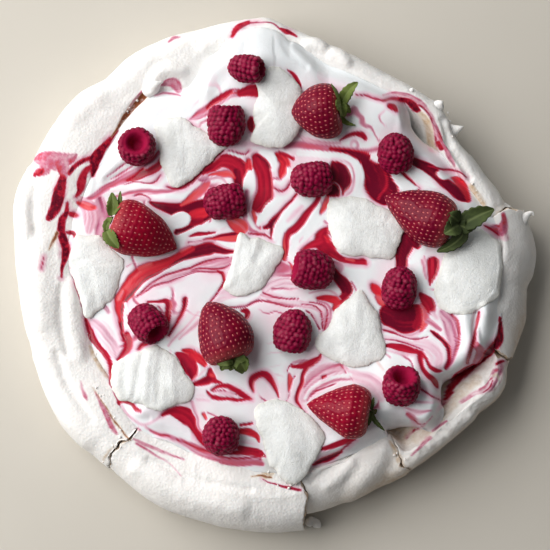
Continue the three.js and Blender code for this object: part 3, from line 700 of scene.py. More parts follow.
rose 150,430,3 160,434,4 170,437,5 180,441.5,6 190,446.5,8 200,452,10 211,456,9 222,459,6
rose 222,461,6 236,462,8 250,463,8 262,464,5
line 158,434,1.2 165,435,1.8 172,438,1.2 185,443.5,1.2 200,450,1.5 214,454,1.8 230,457.5,2 250,458,1.8
262,460,1.5
rose 133,439,2 141,443,3.5 150,447,3.5 160,451,3 170,456,2 183,460,1.2
rose 136,444,2.5 146,450,2.5 156,456,2 166,462,1.2 181,475,.8
line 262,480,1 275,485,1.8 289,488,2.8 300,490,2.5
tan 262,459,3 267,464,6 270,471,11 265,476,8
brown 250,478,1 260,477,2 272,478,2
tan 390,440,2 395,448,4 399,458,7 401,466,6
beige 412,437,6 415,438,12 428,430,12 438,420,12 448,408,12 458,398,12 466,388,12 476,378,10
rose 412,455,1.5 419,448,3 427,440,4 431,438,3
rose 433,432,2 440,426,3 447,421,2
rose 462,402,3 470,397,4 476,393,3
lavender 474,394,4 484,390,8 494,384,10 500,374,9 503,364,5
rose 479,389,3 485,385,4 488,380,2
mauve 488,391,2 493,386,4 497,381,3
rose 490,378,4 494,372,5 499,369,3
line 483,392,1.2 489,387,1.6 492,381,1.2
mauve 499,378,4 502,370,4 502,363,3
deep 497,364,2 501,361,2.5 505,360,1.5
tan 492,376,2 497,374,3 500,380,2
white 480,386,1.2 486,381,1.6 491,375,1.2
white 494,389,1.5 499,383,2 502,376,1.5
"""


BENDS = ((1.5, 13, 0), (0.6, 4, 1))  # how far strokes are bent, in columns, at what size in mm, and seed
MARBLED = (118, 95)  # radii in mm between which marbling fades in
TINT = 0.13  # a faint pink worked into the cream everywhere there: partly sauce, partly painted bounce light
THREAD = 0.5  # sauce in a fine thread
THREADS = 3.2  # threads for each unit by which the swirl rises
THICK = 0.7  # kinds with more sauce than this are drawn a little narrower, with a halo
NARROWED = 0.92
HALO = 0.30  # sauce in a halo at its stroke
HALO_WIDTH = 6.0  # columns


def read_strokes():
    """[(kind, knots)] from the text, where each kind's name begins a new stroke."""
    strokes = []
    for word in STROKES.split():
        if word in KINDS:
            strokes.append((word, []))
        else:
            strokes[-1][1].append([float(value) for value in word.split(",")])
    return strokes


def places_near(columns, rows, path, margin):
    """Indices of the places inside the path's box grown by the margin on each side."""
    low = path[:, :2].min(axis=0) - margin
    high = path[:, :2].max(axis=0) + margin
    return np.flatnonzero((columns > low[0]) & (columns < high[0]) & (rows > low[1]) & (rows < high[1]))


def stroke_field(columns, rows, path):
    """How deep each place lies in a stroke, and its place across and along it.

    The depth is the largest of half the width less the distance, over the points of the path.
    """
    apart = np.stack((columns[:, None] - path[:, 0], rows[:, None] - path[:, 1]), -1)
    depth = path[:, 2] / 2 - np.hypot(apart[..., 0], apart[..., 1])
    nearest = depth.argmax(axis=1)
    along = np.gradient(path[:, :2], axis=0)
    along /= np.maximum(np.linalg.norm(along, axis=1, keepdims=True), 1e-6)
    picked = np.take_along_axis(apart, nearest[:, None, None], axis=1)[:, 0]
    across = picked[:, 0] * along[nearest, 1] - picked[:, 1] * along[nearest, 0]
    return depth.max(axis=1), across, nearest.astype(float)


def paint(points):
    """Sauce, warmth and bake at each point, from 0 to 1, by laying the strokes in order.

    The places are first bent by two sizes of noise, so no edge is as even as a drawn one. Under the
    strokes lies a faint tint, partly sauce and partly painted pink bounce light, and fine threads, the
    contour lines of a slow swirl of noise.
    """
    columns, rows = to_view(points)
    flat = points * np.array((1, 1, 0.3))
    for far, scale, seed in BENDS:
        columns = columns + far * noise(flat, scale, 11 + seed)
        rows = rows + far * noise(flat, scale, 13 + seed)
    sauce = np.zeros(len(points))
    warmth = np.full(len(points), 0.5)
    bake = np.zeros(len(points))
    haze = smoothstep(noise(flat, 11, 16), -0.5, 0.5)
    worked_in = smoothstep(np.hypot(points[:, 0], points[:, 1]), *MARBLED)
    # Faint tint: partly sauce, partly painted pink bounce light.
    sauce += TINT * worked_in * smoothstep(fractal(flat, 24, 2, 17), -0.25, 0.45)
    swirl = fractal(flat, 34, 2, 18) + 0.06 * noise(flat, 5, 19)
    threads = smoothstep(cosine(swirl * 360 * THREADS), 0.78, 1.0)
    threads *= smoothstep(noise(flat, 19, 20), -0.15, 0.35)
    sauce = np.maximum(sauce, THREAD * worked_in * threads)
    for number, (kind, knots) in enumerate(read_strokes()):
        amount, warm, baked, soft, streaks = KINDS[kind]
        path = smooth_path(knots, 1.0)
        path[:, 2] = np.maximum(path[:, 2] * (NARROWED if amount > THICK else 1), 1.1)
        near = places_near(columns, rows, path, path[:, 2].max() / 2 + max(soft, HALO_WIDTH))
        if not len(near):
            continue
        depth, across, along = stroke_field(columns[near], rows[near], path)
        if amount > THICK:
            halo = HALO * smoothstep(depth, -HALO_WIDTH, 0) * haze[near]
            warmth[near] = blend(warmth[near], 0.4, halo > sauce[near])
            sauce[near] = np.maximum(sauce[near], halo)
        cover = smoothstep(depth, -soft / 2, soft / 2)
        inked = cover > 0
        near, cover = near[inked], cover[inked]
        lines = np.stack((across[inked] / 1.7, along[inked] / 28, np.full(len(near), number * 3.7)), -1)
        level = amount + streaks * noise(lines, 1, 15)
        sauce[near] = blend(sauce[near], level, cover)
        warmth[near] = blend(warmth[near], warm, cover)
        bake[near] = blend(bake[near], baked, cover)
    return np.clip(sauce, 0, 1), warmth, bake


# ---------------------------------------------------------------- finishes


class Wire:
    """A value in a shader. Arithmetic on it adds Math nodes."""

    def __init__(self, finish, socket):
        self.finish = finish
        self.socket = socket

    def math(self, operation, *values, clamp=False):
        settings = {"operation": operation, "use_clamp": clamp}
        node = self.finish.node("ShaderNodeMath", settings, dict(enumerate(values)))
        return Wire(self.finish, node.outputs[0])

    def __add__(self, other):
        return self.math("ADD", self, other)

    def __sub__(self, other):
        return self.math("SUBTRACT", self, other)

    def __rsub__(self, other):
        return self.math("SUBTRACT", other, self)

    def __mul__(self, other):
        return self.math("MULTIPLY", self, other)

    def __pow__(self, other):
        return self.math("POWER", self, other)

    __radd__ = __add__
    __rmul__ = __mul__

    def held(self):
        """The value kept from 0 to 1."""
        return self.math("ADD", self, 0, clamp=True)

    def between(self, low, high):
        """0 at low, 1 at high, smooth between."""
        node = self.finish.node(
            "ShaderNodeMapRange", {"interpolation_type": "SMOOTHSTEP"}, {0: self, 1: low, 2: high}
        )
        return Wire(self.finish, node.outputs[0])


class Finish:
    """A material being built round one Principled shader."""

    def __init__(self, name):
        self.material = bpy.data.materials.new(name)
        self.material.use_nodes = True
        self.tree = self.material.node_tree
        self.surface = self.tree.nodes["Principled BSDF"]
        self.place = self.node("ShaderNodeTexCoord").outputs["Object"]

    def node(self, kind, settings=None, inputs=None):
        """A node with its settings made first and its inputs set or linked after."""
        made = self.tree.nodes.new(kind)
        for setting, value in (settings or {}).items():
            if setting == "stops":
                self.stops(made.color_ramp, value)
            else:
                setattr(made, setting, value)
        for socket, value in (inputs or {}).items():
            self.feed(made.inputs[socket], value)
        return made

    def feed(self, socket, value):
        """Links a socket to a value in the shader, or sets it to a constant."""
        if isinstance(value, Wire):
            value = value.socket
        if isinstance(value, bpy.types.NodeSocket):
            self.tree.links.new(value, socket)
        else:
            socket.default_value = value

    def stops(self, ramp, stops):
        """Sets a ramp's stops from (position, colour) pairs."""
        while len(ramp.elements) < len(stops):
            ramp.elements.new(0.5)
        for element, (position, colour) in zip(ramp.elements, stops):
            element.position = position
            element.color = (*colour, 1)

    def field(self, name):
        """A per-point value of the piece."""
        return Wire(self, self.node("ShaderNodeAttribute", {"attribute_name": name}).outputs["Fac"])

    def grain(self, size, detail=2, roughness=0.5):
        """Noise from 0 to 1 whose patches are about size millimetres across."""
        node = self.node(
            "ShaderNodeTexNoise", None,
            {"Vector": self.place, "Scale": 1000 / size, "Detail": detail, "Roughness": roughness},
        )
        return Wire(self, node.outputs["Fac"])

    def cells(self, size):
        """Distance field of scattered points size millimetres apart."""
        node = self.node("ShaderNodeTexVoronoi", None, {"Vector": self.place, "Scale": 1000 / size})
        return Wire(self, node.outputs["Distance"])

    def ramp(self, value, stops):
        """Colour at value along stops of (position, colour), even between them."""
        return self.node("ShaderNodeValToRGB", {"stops": stops}, {"Fac": value}).outputs["Color"]

    def mix(self, share, first, second, mode="MIX"):
        """Colour mix of first and second by share."""
        settings = {"data_type": "RGBA", "blend_type": mode}
        inputs = {0: share}
        for socket, colour in ((6, first), (7, second)):
            inputs[socket] = colour if isinstance(colour, bpy.types.NodeSocket) else (*colour, 1)
        return self.node("ShaderNodeMix", settings, inputs).outputs[2]

    def bump(self, *layers):
        """Chains Bump nodes of (height, distance in millimetres), and returns the last normal."""
        normal = None
        for height, distance in layers:
            inputs = {"Height": height, "Distance": distance / 1000, "Strength": 1.0}
            if normal:
                inputs["Normal"] = normal
            normal = self.node("ShaderNodeBump", None, inputs).outputs["Normal"]
        return normal

    def set(self, **values):
        """Feeds sockets of the Principled shader, underscores standing for spaces."""
        for name, value in values.items():
            if isinstance(value, tuple) and len(value) == 3 and "Radius" not in name:
                value = (*value, 1)
            self.feed(self.surface.inputs[name.replace("_", " ")], value)
        return self.material


def srgb(red, green, blue):
    """Linear colour from 0 to 255 screen values."""
    shares = np.array((red, green, blue)) / 255
    linear = np.where(shares > 0.04045, ((shares + 0.055) / 1.055) ** 2.4, shares / 12.92)
    return tuple(linear.tolist())


# ---------------------------------------------------------------- meringue

SHELL_COLUMNS = 520
FOLD_MARGIN = 12  # columns beside a fold's path that it can still touch
CRACK_SHARE = 0.3  # how much of a crack's width stays open once its faces are rough
FACE_COLUMNS = 12  # columns across a broken face of the shell
FLOOR_COLUMNS = 40  # columns of the floor's bare stretch
FOOT_ROWS = 11  # rows of rim_rows under and round the foot
FACE_RINGS = 15  # rings across a broken face of a loose piece
FACE_SHARES = np.linspace(0.93, 0.04, FACE_RINGS)  # how far each of them is drawn in to the middle
COLUMN_WIDTH = 0.9  # of a loose piece, in mm at a radius of 140 mm
CRACK_REACH = 3.0  # degrees beside a crack that its zigzag bends
TORN_TURN = 321  # degrees at the middle of the torn top edge
TORN_REACH = 17

# Folds and bumps of the rim: how far each stands up in mm, then column,row,width at each knot along it.
RIM_FOLDS = (
    (2.2, "73,285,10 74,300,14 75,320,16 77,340,16 80,352,10"),
    (-1.2, "62,290,6 62,310,8 64,335,8 67,352,6"),
    (2.0, "28,170,8 24,190,12 22,212,12 25,232,8"),
    (-1.4, "36,178,6 33,195,8 32,212,8 35,230,6"),
    (2.5, "350,497,8 358,488,14 366,478,16 378,460,16 385,442,10"),
    (-1.3, "310,481,4 330,468,6 345,460,6 353,450,4"),
    (1.6, "325,486,8 340,476,10 352,466,10"),
    (2.6, "152,84,8 160,76,12 171,71,12 182,70,8"),
    (-1.8, "148,92,5 140,100,6 130,112,6 120,128,5"),
    (1.5, "100,100,14 118,84,18 136,72,16 150,62,10"),
    (2.6, "309,46,8 316,46,9 322,48,7"),
    (2.8, "333,54,8 340,57,10 346,61,8"),
    (1.6, "436,100,8 442,112,10 446,124,8"),
    (-1.4, "447,112,5 452,124,6 460,138,6 470,152,5"),
    (-1.5, "498,178,6 504,190,7 506,204,6"),
    (1.6, "40,360,14 50,390,18 66,418,16 84,440,10"),
    (-1.2, "56,352,6 66,380,7 80,402,7 92,420,5"),
    (1.8, "140,470,12 170,486,16 205,500,16 240,508,12"),
    (-1.3, "150,462,6 180,474,7 215,484,7 250,489,5"),
    (1.2, "500,240,12 512,262,16 514,286,14 508,306,8"),
    (-1.6, "484,236,6 490,256,7 492,276,7 490,296,5"),
    (2.0, "395,470,10 415,458,12 440,440,12 470,418,10"),
    (-1.5, "404,448,5 424,440,6 446,424,6 468,404,5"),
    (1.5, "455,150,8 468,165,12 480,184,12 492,204,8"),
    (-1.5, "441,120,4 448,140,5 458,160,5 468,178,4"),
    (1.3, "40,250,14 38,285,18 44,320,14"),
    (1.5, "70,120,14 84,104,18 98,92,12"),
    (1.4, "205,45,10 225,38,12 240,30,8"),
)


def folds(points, table):
    """Relief in mm: for each fold its height times a smooth hill across its width."""
    columns, rows = to_view(points)
    columns = columns + 2.5 * noise(points, 16, 21)
    rows = rows + 2.5 * noise(points, 16, 22)
    relief = np.zeros(len(points))
    for rise, text in table:
        path = smooth_path(knots_of(text), 2.0)
        near = places_near(columns, rows, path, FOLD_MARGIN)
        if len(near):
            depth, _, _ = stroke_field(columns[near], rows[near], path)
            relief[near] += rise * smoothstep(depth, -path[:, 2].max() / 2, path[:, 2].max() / 2)
    return relief


def rim_relief(points):
    """Soft swells of three sizes, small pits and the folds, in mm along the surface normal."""
    swell = 1.3 * fractal(points, 46, 2, 31) + 0.45 * fractal(points, 17, 2, 33)
    ripple = 0.15 * (1 - 2 * np.abs(noise(points, 7, 35))) + 0.06 * noise(points, 2.2, 36)
    torn = smoothstep(np.abs((turn_of(points[:, 0], points[:, 1]) - TORN_TURN) / TORN_REACH), 1, 0.8)
    crumbs = 0.5 * noise(points, 3.2, 37) + 0.35 * noise(points, 1.5, 38)
    return swell + ripple + torn * smoothstep(points[:, 2], 28, 33) * crumbs + folds(points, RIM_FOLDS)


def rim_rows(turns, edge):
    """Radius and height, row by row, from the underside over the rim to where the floor starts.

    A quarter ellipse round the foot, then up to the crest, down to the lip and down the inner wall as
    rim_height says.
    """
    inset, crest, high, lip, run, fall = rim_measures(turns, edge)
    rows = [(edge * share, 0 * edge) for share in (0.3, 0.6, 0.85)]
    for t in np.linspace(0, 90, 9)[:-1]:
        rows.append((edge - 7 * (1 - sine(t)), BELLY * (1 - cosine(t)) + 0 * edge))
    for out in cosine(np.linspace(0, 90, 34)[:-1]):
        rows.append((crest + inset * out, outer_side(out, high, fall)))
    for share in np.linspace(0, 1, 26)[:-1]:
        rows.append((blend(crest, lip, share), high - LIP_DROP * share**2))
    for share in np.linspace(0, 1, 14):
        rows.append((lip - run * share, blend(high - LIP_DROP, FLOOR, smoothstep(share, 0, 1))))
    return np.array(rows)


# Peaks drawn out of the meringue: the piece, then column,row,height and width in mm along each.
PEAKS = (
    ("meringue_shell", "434,110,30,9 438,106,34,7 441,103,36,3.5 443,101.5,36,1"),
    ("meringue_shell", "446,133,26,11 453,131,31,8 459,128.5,33,4 463.5,126.5,33,0.8"),
    ("meringue_shell", "308,52,34,9 313,47,38,6 317,43,39,2.5 319,41,39,0.8"),
    ("meringue_shell", "407,96,33,7 411,91,37,4 413,88,38,1"),
    ("meringue_shell", "148,92,40,8 155,86,45,6 160,83,46,2.5 163,82,46,0.8"),
    ("meringue_right", "514,228,27,13 521,221,29,9 526,216.5,30,5 529.5,213.5,30,3 532.5,213,30,1.8 "
     "533.5,215.5,30,0.8"),
    ("meringue_front_right", "306,520,3,3 309,522,3.4,5.5 313,521,3.4,4.5 317,524,3.2,5.5 320,527,2.4,2"),
)
PEAK_RINGS = 26
PEAK_COLUMNS = 24


def peaks_of(name):
    """The peaks of one piece: closed tubes along their knots, as wide as the knots say."""
    shapes = []
    for number, (piece, text) in enumerate(PEAKS):
        if piece != name:
            continue
        knots = knots_of(text)
        spine = from_view(knots[:, 0], knots[:, 1], lambda x, y: knots[:, 2])
        path = smooth_path(np.column_stack((spine, knots[:, 3])), 0.4)
        path = path[np.linspace(0, len(path) - 1, PEAK_RINGS).astype(int)]
        ahead = np.gradient(path[:, :3], axis=0)
        side = np.stack((-ahead[:, 1], ahead[:, 0], 0 * ahead[:, 0]), -1)
        side /= np.linalg.norm(side, axis=1, keepdims=True)
        over = np.cross(ahead, side)
        over /= np.linalg.norm(over, axis=1, keepdims=True)
        turns = np.arange(PEAK_COLUMNS) * 360 / PEAK_COLUMNS
        spokes = side[:, None] * cosine(turns)[:, None] + over[:, None] * sine(turns)[:, None]
        spokes = spokes * path[:, 3, None, None] / 2
        rings = path[:, None, :3] + spokes
        wobble = 1 + 0.22 * noise(rings.reshape(-1, 3), 3.5, 90 + number).reshape(rings.shape[:2] + (1,))
        rings = path[:, None, :3] + spokes * wobble
        shapes.append(skin(rings, path[0, :3], path[-1, :3] + 0.3 * ahead[-1]))
    return shapes


def with_peaks(name, shape, fields):
    """A piece's shape with its peaks joined on, and its fields with 0 on the peaks."""
    peaks = peaks_of(name)
    if not peaks:
        return (*shape, fields)
    extra = np.zeros(sum(len(points) for points, _ in peaks))
    points, faces = join((shape, *peaks))
    return points, faces, {key: np.append(values, extra) for key, values in fields.items()}


def jag_of(crack, radii):
    """Zigzag of a crack in degrees at the given radii, straight between its corners."""
    inner = ring_curve(CREAM_EDGE, crack[0]) - CRACK_START
    share = (radii - inner) / (BEYOND - inner)
    jags = crack[2]
    return np.interp(share, np.linspace(0, 1, len(jags)), jags)


def around(radii, heights, turns):
    """Points from radii, heights and turns round Z."""
    return np.stack((radii * cosine(turns), radii * sine(turns), heights), -1)


def turned_profile(profile, sides):
    """A ring of points round Z for each (radius, height) of a profile."""
    turns = np.arange(sides) * 360 / sides
    return np.array([around(radius + 0 * turns, height + 0 * turns, turns) for radius, height in profile])


def roughen_face(points, seed):
    """Crumbly offset in mm of a broken face: what both sides share, and a little of each side's own."""
    return 1.7 * noise(points, 6, 41) + 1.0 * noise(points, 2.4, 42) + 0.3 * noise(points, 1.6, seed)


def shell_piece(material):
    """The floor and the unbroken rim.

    A section goes round from the last crack to the first as the whole rim, and on from there as the
    floor alone. At both cracks it changes from one to the other within one plane, which is the face
    of the break.
    """
    first, last = CRACKS[0], CRACKS[-1]
    start = last[0] + last[1] * CRACK_SHARE / 2 - 360
    end = first[0] - first[1] * CRACK_SHARE / 2
    shares = np.linspace(0, 1, FACE_COLUMNS)
    turns = np.concatenate((
        np.linspace(start, end, SHELL_COLUMNS), np.full(FACE_COLUMNS, end),
        np.linspace(end, start + 360, FLOOR_COLUMNS + 2)[1:-1], np.full(FACE_COLUMNS, start + 360),
    ))
    cut = np.concatenate((np.zeros(SHELL_COLUMNS), shares, np.ones(FLOOR_COLUMNS), shares[::-1]))
    cut[SHELL_COLUMNS] = 0.004
    cut[-1] = 0.004
    whole = rim_rows(turns, ring_curve(SHELL_EDGE, turns))
    count = len(whole)
    inner = ring_curve(CREAM_EDGE, turns) - CRACK_START - RIM_CLEARANCE
    number = np.arange(count)[:, None]
    inward = np.clip((number - FOOT_ROWS) / (count - FOOT_ROWS - 1), 0, 1)
    short_radii = np.where(number < FOOT_ROWS, np.minimum(whole[:, 0], inner), inner * (1 - 0.12 * inward))
    rise = np.clip((number - 3) / 30, 0, 1)
    short = np.stack((short_radii, FLOOR * rise + 0 * inner), axis=1)
    rows = blend(whole, short, cut)
    middle = [np.stack((rows[-1, 0] * share, np.full(len(turns), FLOOR))) for share in (0.85, 0.6, 0.3)]
    rows = np.concatenate((rows, middle))
    radii, heights = rows[:, 0], rows[:, 1]
    near_start = np.clip(1 - np.abs((turns - start + 180) % 360 - 180) / CRACK_REACH, 0, 1)
    near_end = np.clip(1 - np.abs(turns - end) / CRACK_REACH, 0, 1)
    turned = turns + near_start * jag_of(last, radii) + near_end * jag_of(first, radii)
    grid = around(radii, heights, turned)
    face = (4 * cut * (1 - cut))[None, :, None]
    sideways = np.stack((-sine(turned), cosine(turned), 0 * turned), -1)
    crumbs = roughen_face(grid.reshape(-1, 3), 43).reshape(radii.shape)[..., None]
    near = np.maximum(near_start, near_end)[None, :, None] ** 3
    grid = grid + sideways * crumbs * np.maximum(np.minimum(1, 3 * face), near)
    normals = normals_of(grid)
    normals *= np.sign(normals[40, 40] @ np.array((0, 0, 1.0)))
    flat = grid.reshape(-1, 3)
    kept = smoothstep(heights, 1, 8) * (1 - smoothstep(cut, 0.0, 0.2))
    kept *= smoothstep(radii - ring_curve(CREAM_EDGE, turns), -8, -3)
    grid = grid + normals * (rim_relief(flat).reshape(radii.shape) * kept)[..., None]
    points, faces = skin(grid, (0, 0, 0), (0, 0, FLOOR))
    sauce, warmth, bake = paint(points)
    broken = np.append((smoothstep(cut, 0, 0.1) + 0 * radii).ravel(), (0, 0))
    side = smoothstep(points[:, 2], 30, 12)
    fields = {"sauce": sauce * (1 - side), "warmth": warmth, "bake": np.maximum(bake, 0.6 * broken)}
    points, faces, fields = with_peaks("meringue_shell", (points, faces), fields)
    return add_piece("meringue_shell", points, faces, material, "meringue", ("meringue_shell",), fields)


def broken_piece(name, number, edge_knots, material):
    """A broken-off stretch of rim between two cracks.

    Its closed section is swept from crack to crack; both ends are that section drawn in to its middle
    in one plane, roughened as broken meringue is.
    """
    first, last = CRACKS[number], CRACKS[number + 1]
    start = first[0] + first[1] * CRACK_SHARE / 2
    end = last[0] - last[1] * CRACK_SHARE / 2
    columns = int(np.radians(end - start) * 140 / COLUMN_WIDTH)
    turns = np.linspace(start, end, columns)
    edge = ring_curve(edge_knots, turns)
    rows = rim_rows(turns, edge)[2:]
    inner = ring_curve(CREAM_EDGE, turns) - CRACK_START
    top = rows[:, 0]
    keep = np.maximum(top, inner + 0.02 * np.arange(len(top))[::-1, None])
    heights = np.where(top < inner, rim_height(turns, keep, edge), rows[:, 1])
    rows = np.stack((keep, heights), axis=1)
    last_height = rows[-1, 1]
    down = [np.stack((inner, last_height * (1 - share))) for share in (0.3, 0.6, 0.85, 1)]
    under = [np.stack((blend(inner, rows[0, 0], share), 0 * inner)) for share in (0.3, 0.6)]
    loop = np.concatenate((rows, down, under))
    loops = np.concatenate((
        [blend(loop[:, :, 0].mean(axis=0), loop[:, :, 0], 1 - share) for share in FACE_SHARES],
        np.moveaxis(loop, 2, 0),
        [blend(loop[:, :, -1].mean(axis=0), loop[:, :, -1], 1 - share) for share in FACE_SHARES[::-1]],
    ))
    radii, heights = loops[..., 0], loops[..., 1]
    nominal = np.concatenate((np.full(FACE_RINGS, start), turns, np.full(FACE_RINGS, end)))[:, None]
    near_start = np.clip(1 - (nominal - start) / CRACK_REACH, 0, 1)
    near_end = np.clip(1 - (end - nominal) / CRACK_REACH, 0, 1)
    turned = nominal + near_start * jag_of(first, radii) + near_end * jag_of(last, radii)
    grid = around(radii, heights, turned)
    flat = grid.reshape(-1, 3)
    sideways = np.stack((-sine(turned), cosine(turned), 0 * turned), -1)
    deep = np.linspace(1, 0.3, FACE_RINGS)
    inside = np.concatenate((deep, np.zeros(columns), deep[::-1]))[:, None]
    ragged = np.maximum(np.minimum(inside * 3, 1), np.maximum(near_start, near_end) ** 3)
    grid = grid + sideways * (roughen_face(flat, 51 + number).reshape(radii.shape) * ragged)[..., None]
    outside = slice(FACE_RINGS, -FACE_RINGS)
    normals = normals_of(grid[outside])
    sign = np.sign(normals[columns // 2, 44] @ np.array((0, 0, 1.0)))
    relief = rim_relief(grid[outside].reshape(-1, 3)).reshape(columns, -1)
    kept = smoothstep(heights[outside], 1, 8) * smoothstep(radii[outside] - inner[:, None], 1, 6)
    ends = smoothstep(np.minimum(turns - start, end - turns), 0, 1.2)[:, None]
    moved = normals * sign * (relief * kept * blend(0.6, 1, ends))[..., None]
    grid[outside] += moved
    caps = 1 - FACE_SHARES[:, None, None]
    grid[:FACE_RINGS] += moved[0] * caps
    grid[-FACE_RINGS:] += moved[-1] * caps[::-1]
    first_pole, last_pole = grid[0].mean(axis=0), grid[-1].mean(axis=0)
    points, faces = skin(grid, first_pole, last_pole)
    sauce, warmth, bake = paint(points)
    face = np.append((np.minimum(1, inside * 4) + 0 * radii).ravel(), (1, 1))
    side = smoothstep(points[:, 2], 30, 12)
    # Painted shade and brown bounce light low on the rim's outside round 320 degrees, in the tan of a broken
    # face.
    far = smoothstep(np.abs(turn_of(points[:, 0], points[:, 1]) - 320), 46, 20)
    foot = 0.5 * far * smoothstep(points[:, 2], 38, 20)
    bake = np.maximum(np.maximum(bake, 0.6 * face), foot)
    fields = {"sauce": sauce * (1 - side) * (1 - face), "warmth": warmth, "bake": bake}
    points, faces, fields = with_peaks(name, (points, faces), fields)
    return add_piece(name, points, faces, material, "meringue", (name,), fields)


# ---------------------------------------------------------------- cream

CREAM_CELLS = 288  # along each side of the square grid that becomes the top
CREAM_CLEARANCE = 1.5  # mm between the cream's hidden side and the meringue
SKIRT_PARTS = (1.0, 0.985, 0.95, 0.91, 0.87, 0.8)  # shares of the edge's radius along that side
CREAM_STAND = 0.3  # mm that white cream stands up
SAUCE_SINK = 0.75  # mm that the deepest sauce lies under white cream
CREAM_FOLDS = (
    (2.0, "237,38,10 226,54,14 218,68,16 211,80,14 206,92,10"),
    (-1.2, "228,40,6 217,55,8 207,68,8 199,80,8 191,94,6"),
    (1.0, "255,36,22 262,48,26 262,62,20"),
    (1.2, "296,44,12 308,62,16 316,80,14"),
    (-1.0, "284,36,6 290,48,8 297,57,8 305,64,6"),
    (3.0, "466,316,12 468,332,18 468,352,18 464,370,10"),
    (2.5, "486,306,10 489,320,14 488,338,12"),
    (-2.0, "478,312,3 476,325,4 474,338,4 471,350,4 467,364,3"),
    (2.0, "424,380,10 432,388,12 440,396,8"),
    (1.8, "411,400,10 422,412,14 434,418,8"),
    (1.8, "96,150,8 90,170,10 86,192,10"),
    (1.5, "104,176,8 118,160,10 134,148,8"),
    (1.6, "420,60,10 428,80,12"),
    (1.6, "130,420,10 150,410,14 170,404,10"),
    (-1.0, "124,404,4 136,418,5 150,420,4"),
    (1.5, "355,430,10 372,418,14 390,408,10"),
)


def cream_relief(points):
    """Soft swells and the folds, in mm."""
    flat = points * (1, 1, 0)
    return 0.9 * fractal(flat, 30, 2, 61) + 0.3 * noise(flat, 9, 63) + folds(points, CREAM_FOLDS)


def cream_reach(turns):
    """Radius to which the finished cream runs: on to the rim's lip where that is near."""
    edge = ring_curve(CREAM_EDGE, turns)
    apart = ring_curve(LIP_RADIUS, turns) - edge
    return edge + np.maximum(apart + 1.5, 0) * smoothstep(apart, 8, 4)


def cream_top(x, y):
    """Height of the finished cream at plan places, its sauce left out.

    The level with its mounds runs down by a smoothstep to just under the rim's surface at its edge.
    """
    shape = np.shape(x)
    x, y = np.ravel(x), np.ravel(y)
    turns = turn_of(x, y)
    reach = cream_reach(turns)
    inside = 1 - np.hypot(x, y) / reach
    near_lip = smoothstep(reach - ring_curve(CREAM_EDGE, turns), 0, 5)
    drawn_in = 1 - 0.10 * near_lip * smoothstep(inside, 0.2, 0.0)
    inner = cream_height(x * drawn_in, y * drawn_in)
    foot = rim_height(turns, reach, ring_curve(SHELL_EDGE, turns)) - 0.5
    joined = blend(inner, foot, smoothstep(inside, 0.085, 0.0))
    height = blend(inner, joined, near_lip)
    flat = np.stack((x, y, height), -1)
    return (height + cream_relief(flat) * smoothstep(inside, 0.0, 0.07)).reshape(shape)


def cake_top(x, y):
    """Height of the finished cream, or of the meringue outside its edge."""
    outside = np.hypot(x, y) > ring_curve(CREAM_EDGE, turn_of(x, y))
    return np.maximum(cream_top(x, y), np.where(outside, rest_height(x, y), 0))


def cream_piece(material):
    """Whipped cream with its sauce.

    The top is a square grid pressed into a disc, whose radius is scaled to the cream's edge. White
    cream stands a little above the sauce. Below the edge the skin follows the meringue to the floor.
    """
    side = CREAM_CELLS + 1
    u, v = np.meshgrid(np.linspace(-1, 1, side), np.linspace(-1, 1, side), indexing="ij")
    share = np.maximum(np.abs(u), np.abs(v))
    steep = np.abs(u) > np.abs(v)
    ratio = np.where(steep, v / np.where(steep, u, 1), u / np.where(np.abs(v) > 0, v, 1))
    angle = np.where(steep, 45 * ratio, 90 - 45 * ratio) + np.where(np.where(steep, u, v) < 0, 180, 0)
    radii = share * cream_reach(angle)
    x, y = radii * cosine(angle), radii * sine(angle)
    top = np.stack((x, y, cream_top(x, y)), -1).reshape(-1, 3)
    sauce, warmth, bake = paint(top)
    inside = smoothstep(1 - share.ravel(), 0.0, 0.05)
    top[:, 2] += inside * (CREAM_STAND - SAUCE_SINK * smoothstep(sauce, 0.1, 0.9))
    ring = np.concatenate((
        np.arange(side - 1) * side, (side - 1) * side + np.arange(side - 1),
        side * side - 1 - np.arange(side - 1) * side, side - 1 - np.arange(side - 1),
    ))
    rim = top[ring]
    turns = turn_of(rim[:, 0], rim[:, 1])
    edge = np.hypot(rim[:, 0], rim[:, 1])
    shell = ring_curve(SHELL_EDGE, turns)
    rings = []
    for part in SKIRT_PARTS:
        height = rim_height(turns, edge * part, shell) - CREAM_CLEARANCE
        rings.append(around(edge * part, np.minimum(height, rim[:, 2] - 0.5), turns))
    points = np.vstack((top, *rings, (0, 0, FLOOR - CREAM_CLEARANCE)))
    count = len(ring)
    ids = np.vstack((ring, side * side + np.arange(len(rings) * count).reshape(len(rings), count)))
    following = np.roll(ids, -1, axis=1)
    skirt = np.stack((ids[:-1], following[:-1], following[1:], ids[1:]), -1).reshape(-1, 4)
    bottom = np.stack((ids[-1], following[-1], np.full(count, len(points) - 1)), -1)
    grid = grid_faces(side, side, closed=False)
    corners = points[grid[len(grid) // 2]]
    if np.cross(corners[1] - corners[0], corners[2] - corners[0])[2] < 0:
        grid = grid[:, ::-1]
    probe = points[skirt[0]]
    outward = np.cross(probe[1] - probe[0], probe[2] - probe[0]) @ (probe[0] * np.array((1, 1, 0)))
    if outward < 0:
        skirt, bottom = skirt[:, ::-1], bottom[:, ::-1]
    extra = np.zeros(len(points) - len(top))
    fields = {
        "sauce": np.append(sauce, extra), "warmth": np.append(warmth, extra + 0.5),
        "bake": np.append(bake * 0.5, extra),
    }
    return add_piece("cream", points, [grid, skirt, bottom], material, "cream", ("cream",), fields)


# ---------------------------------------------------------------- berries

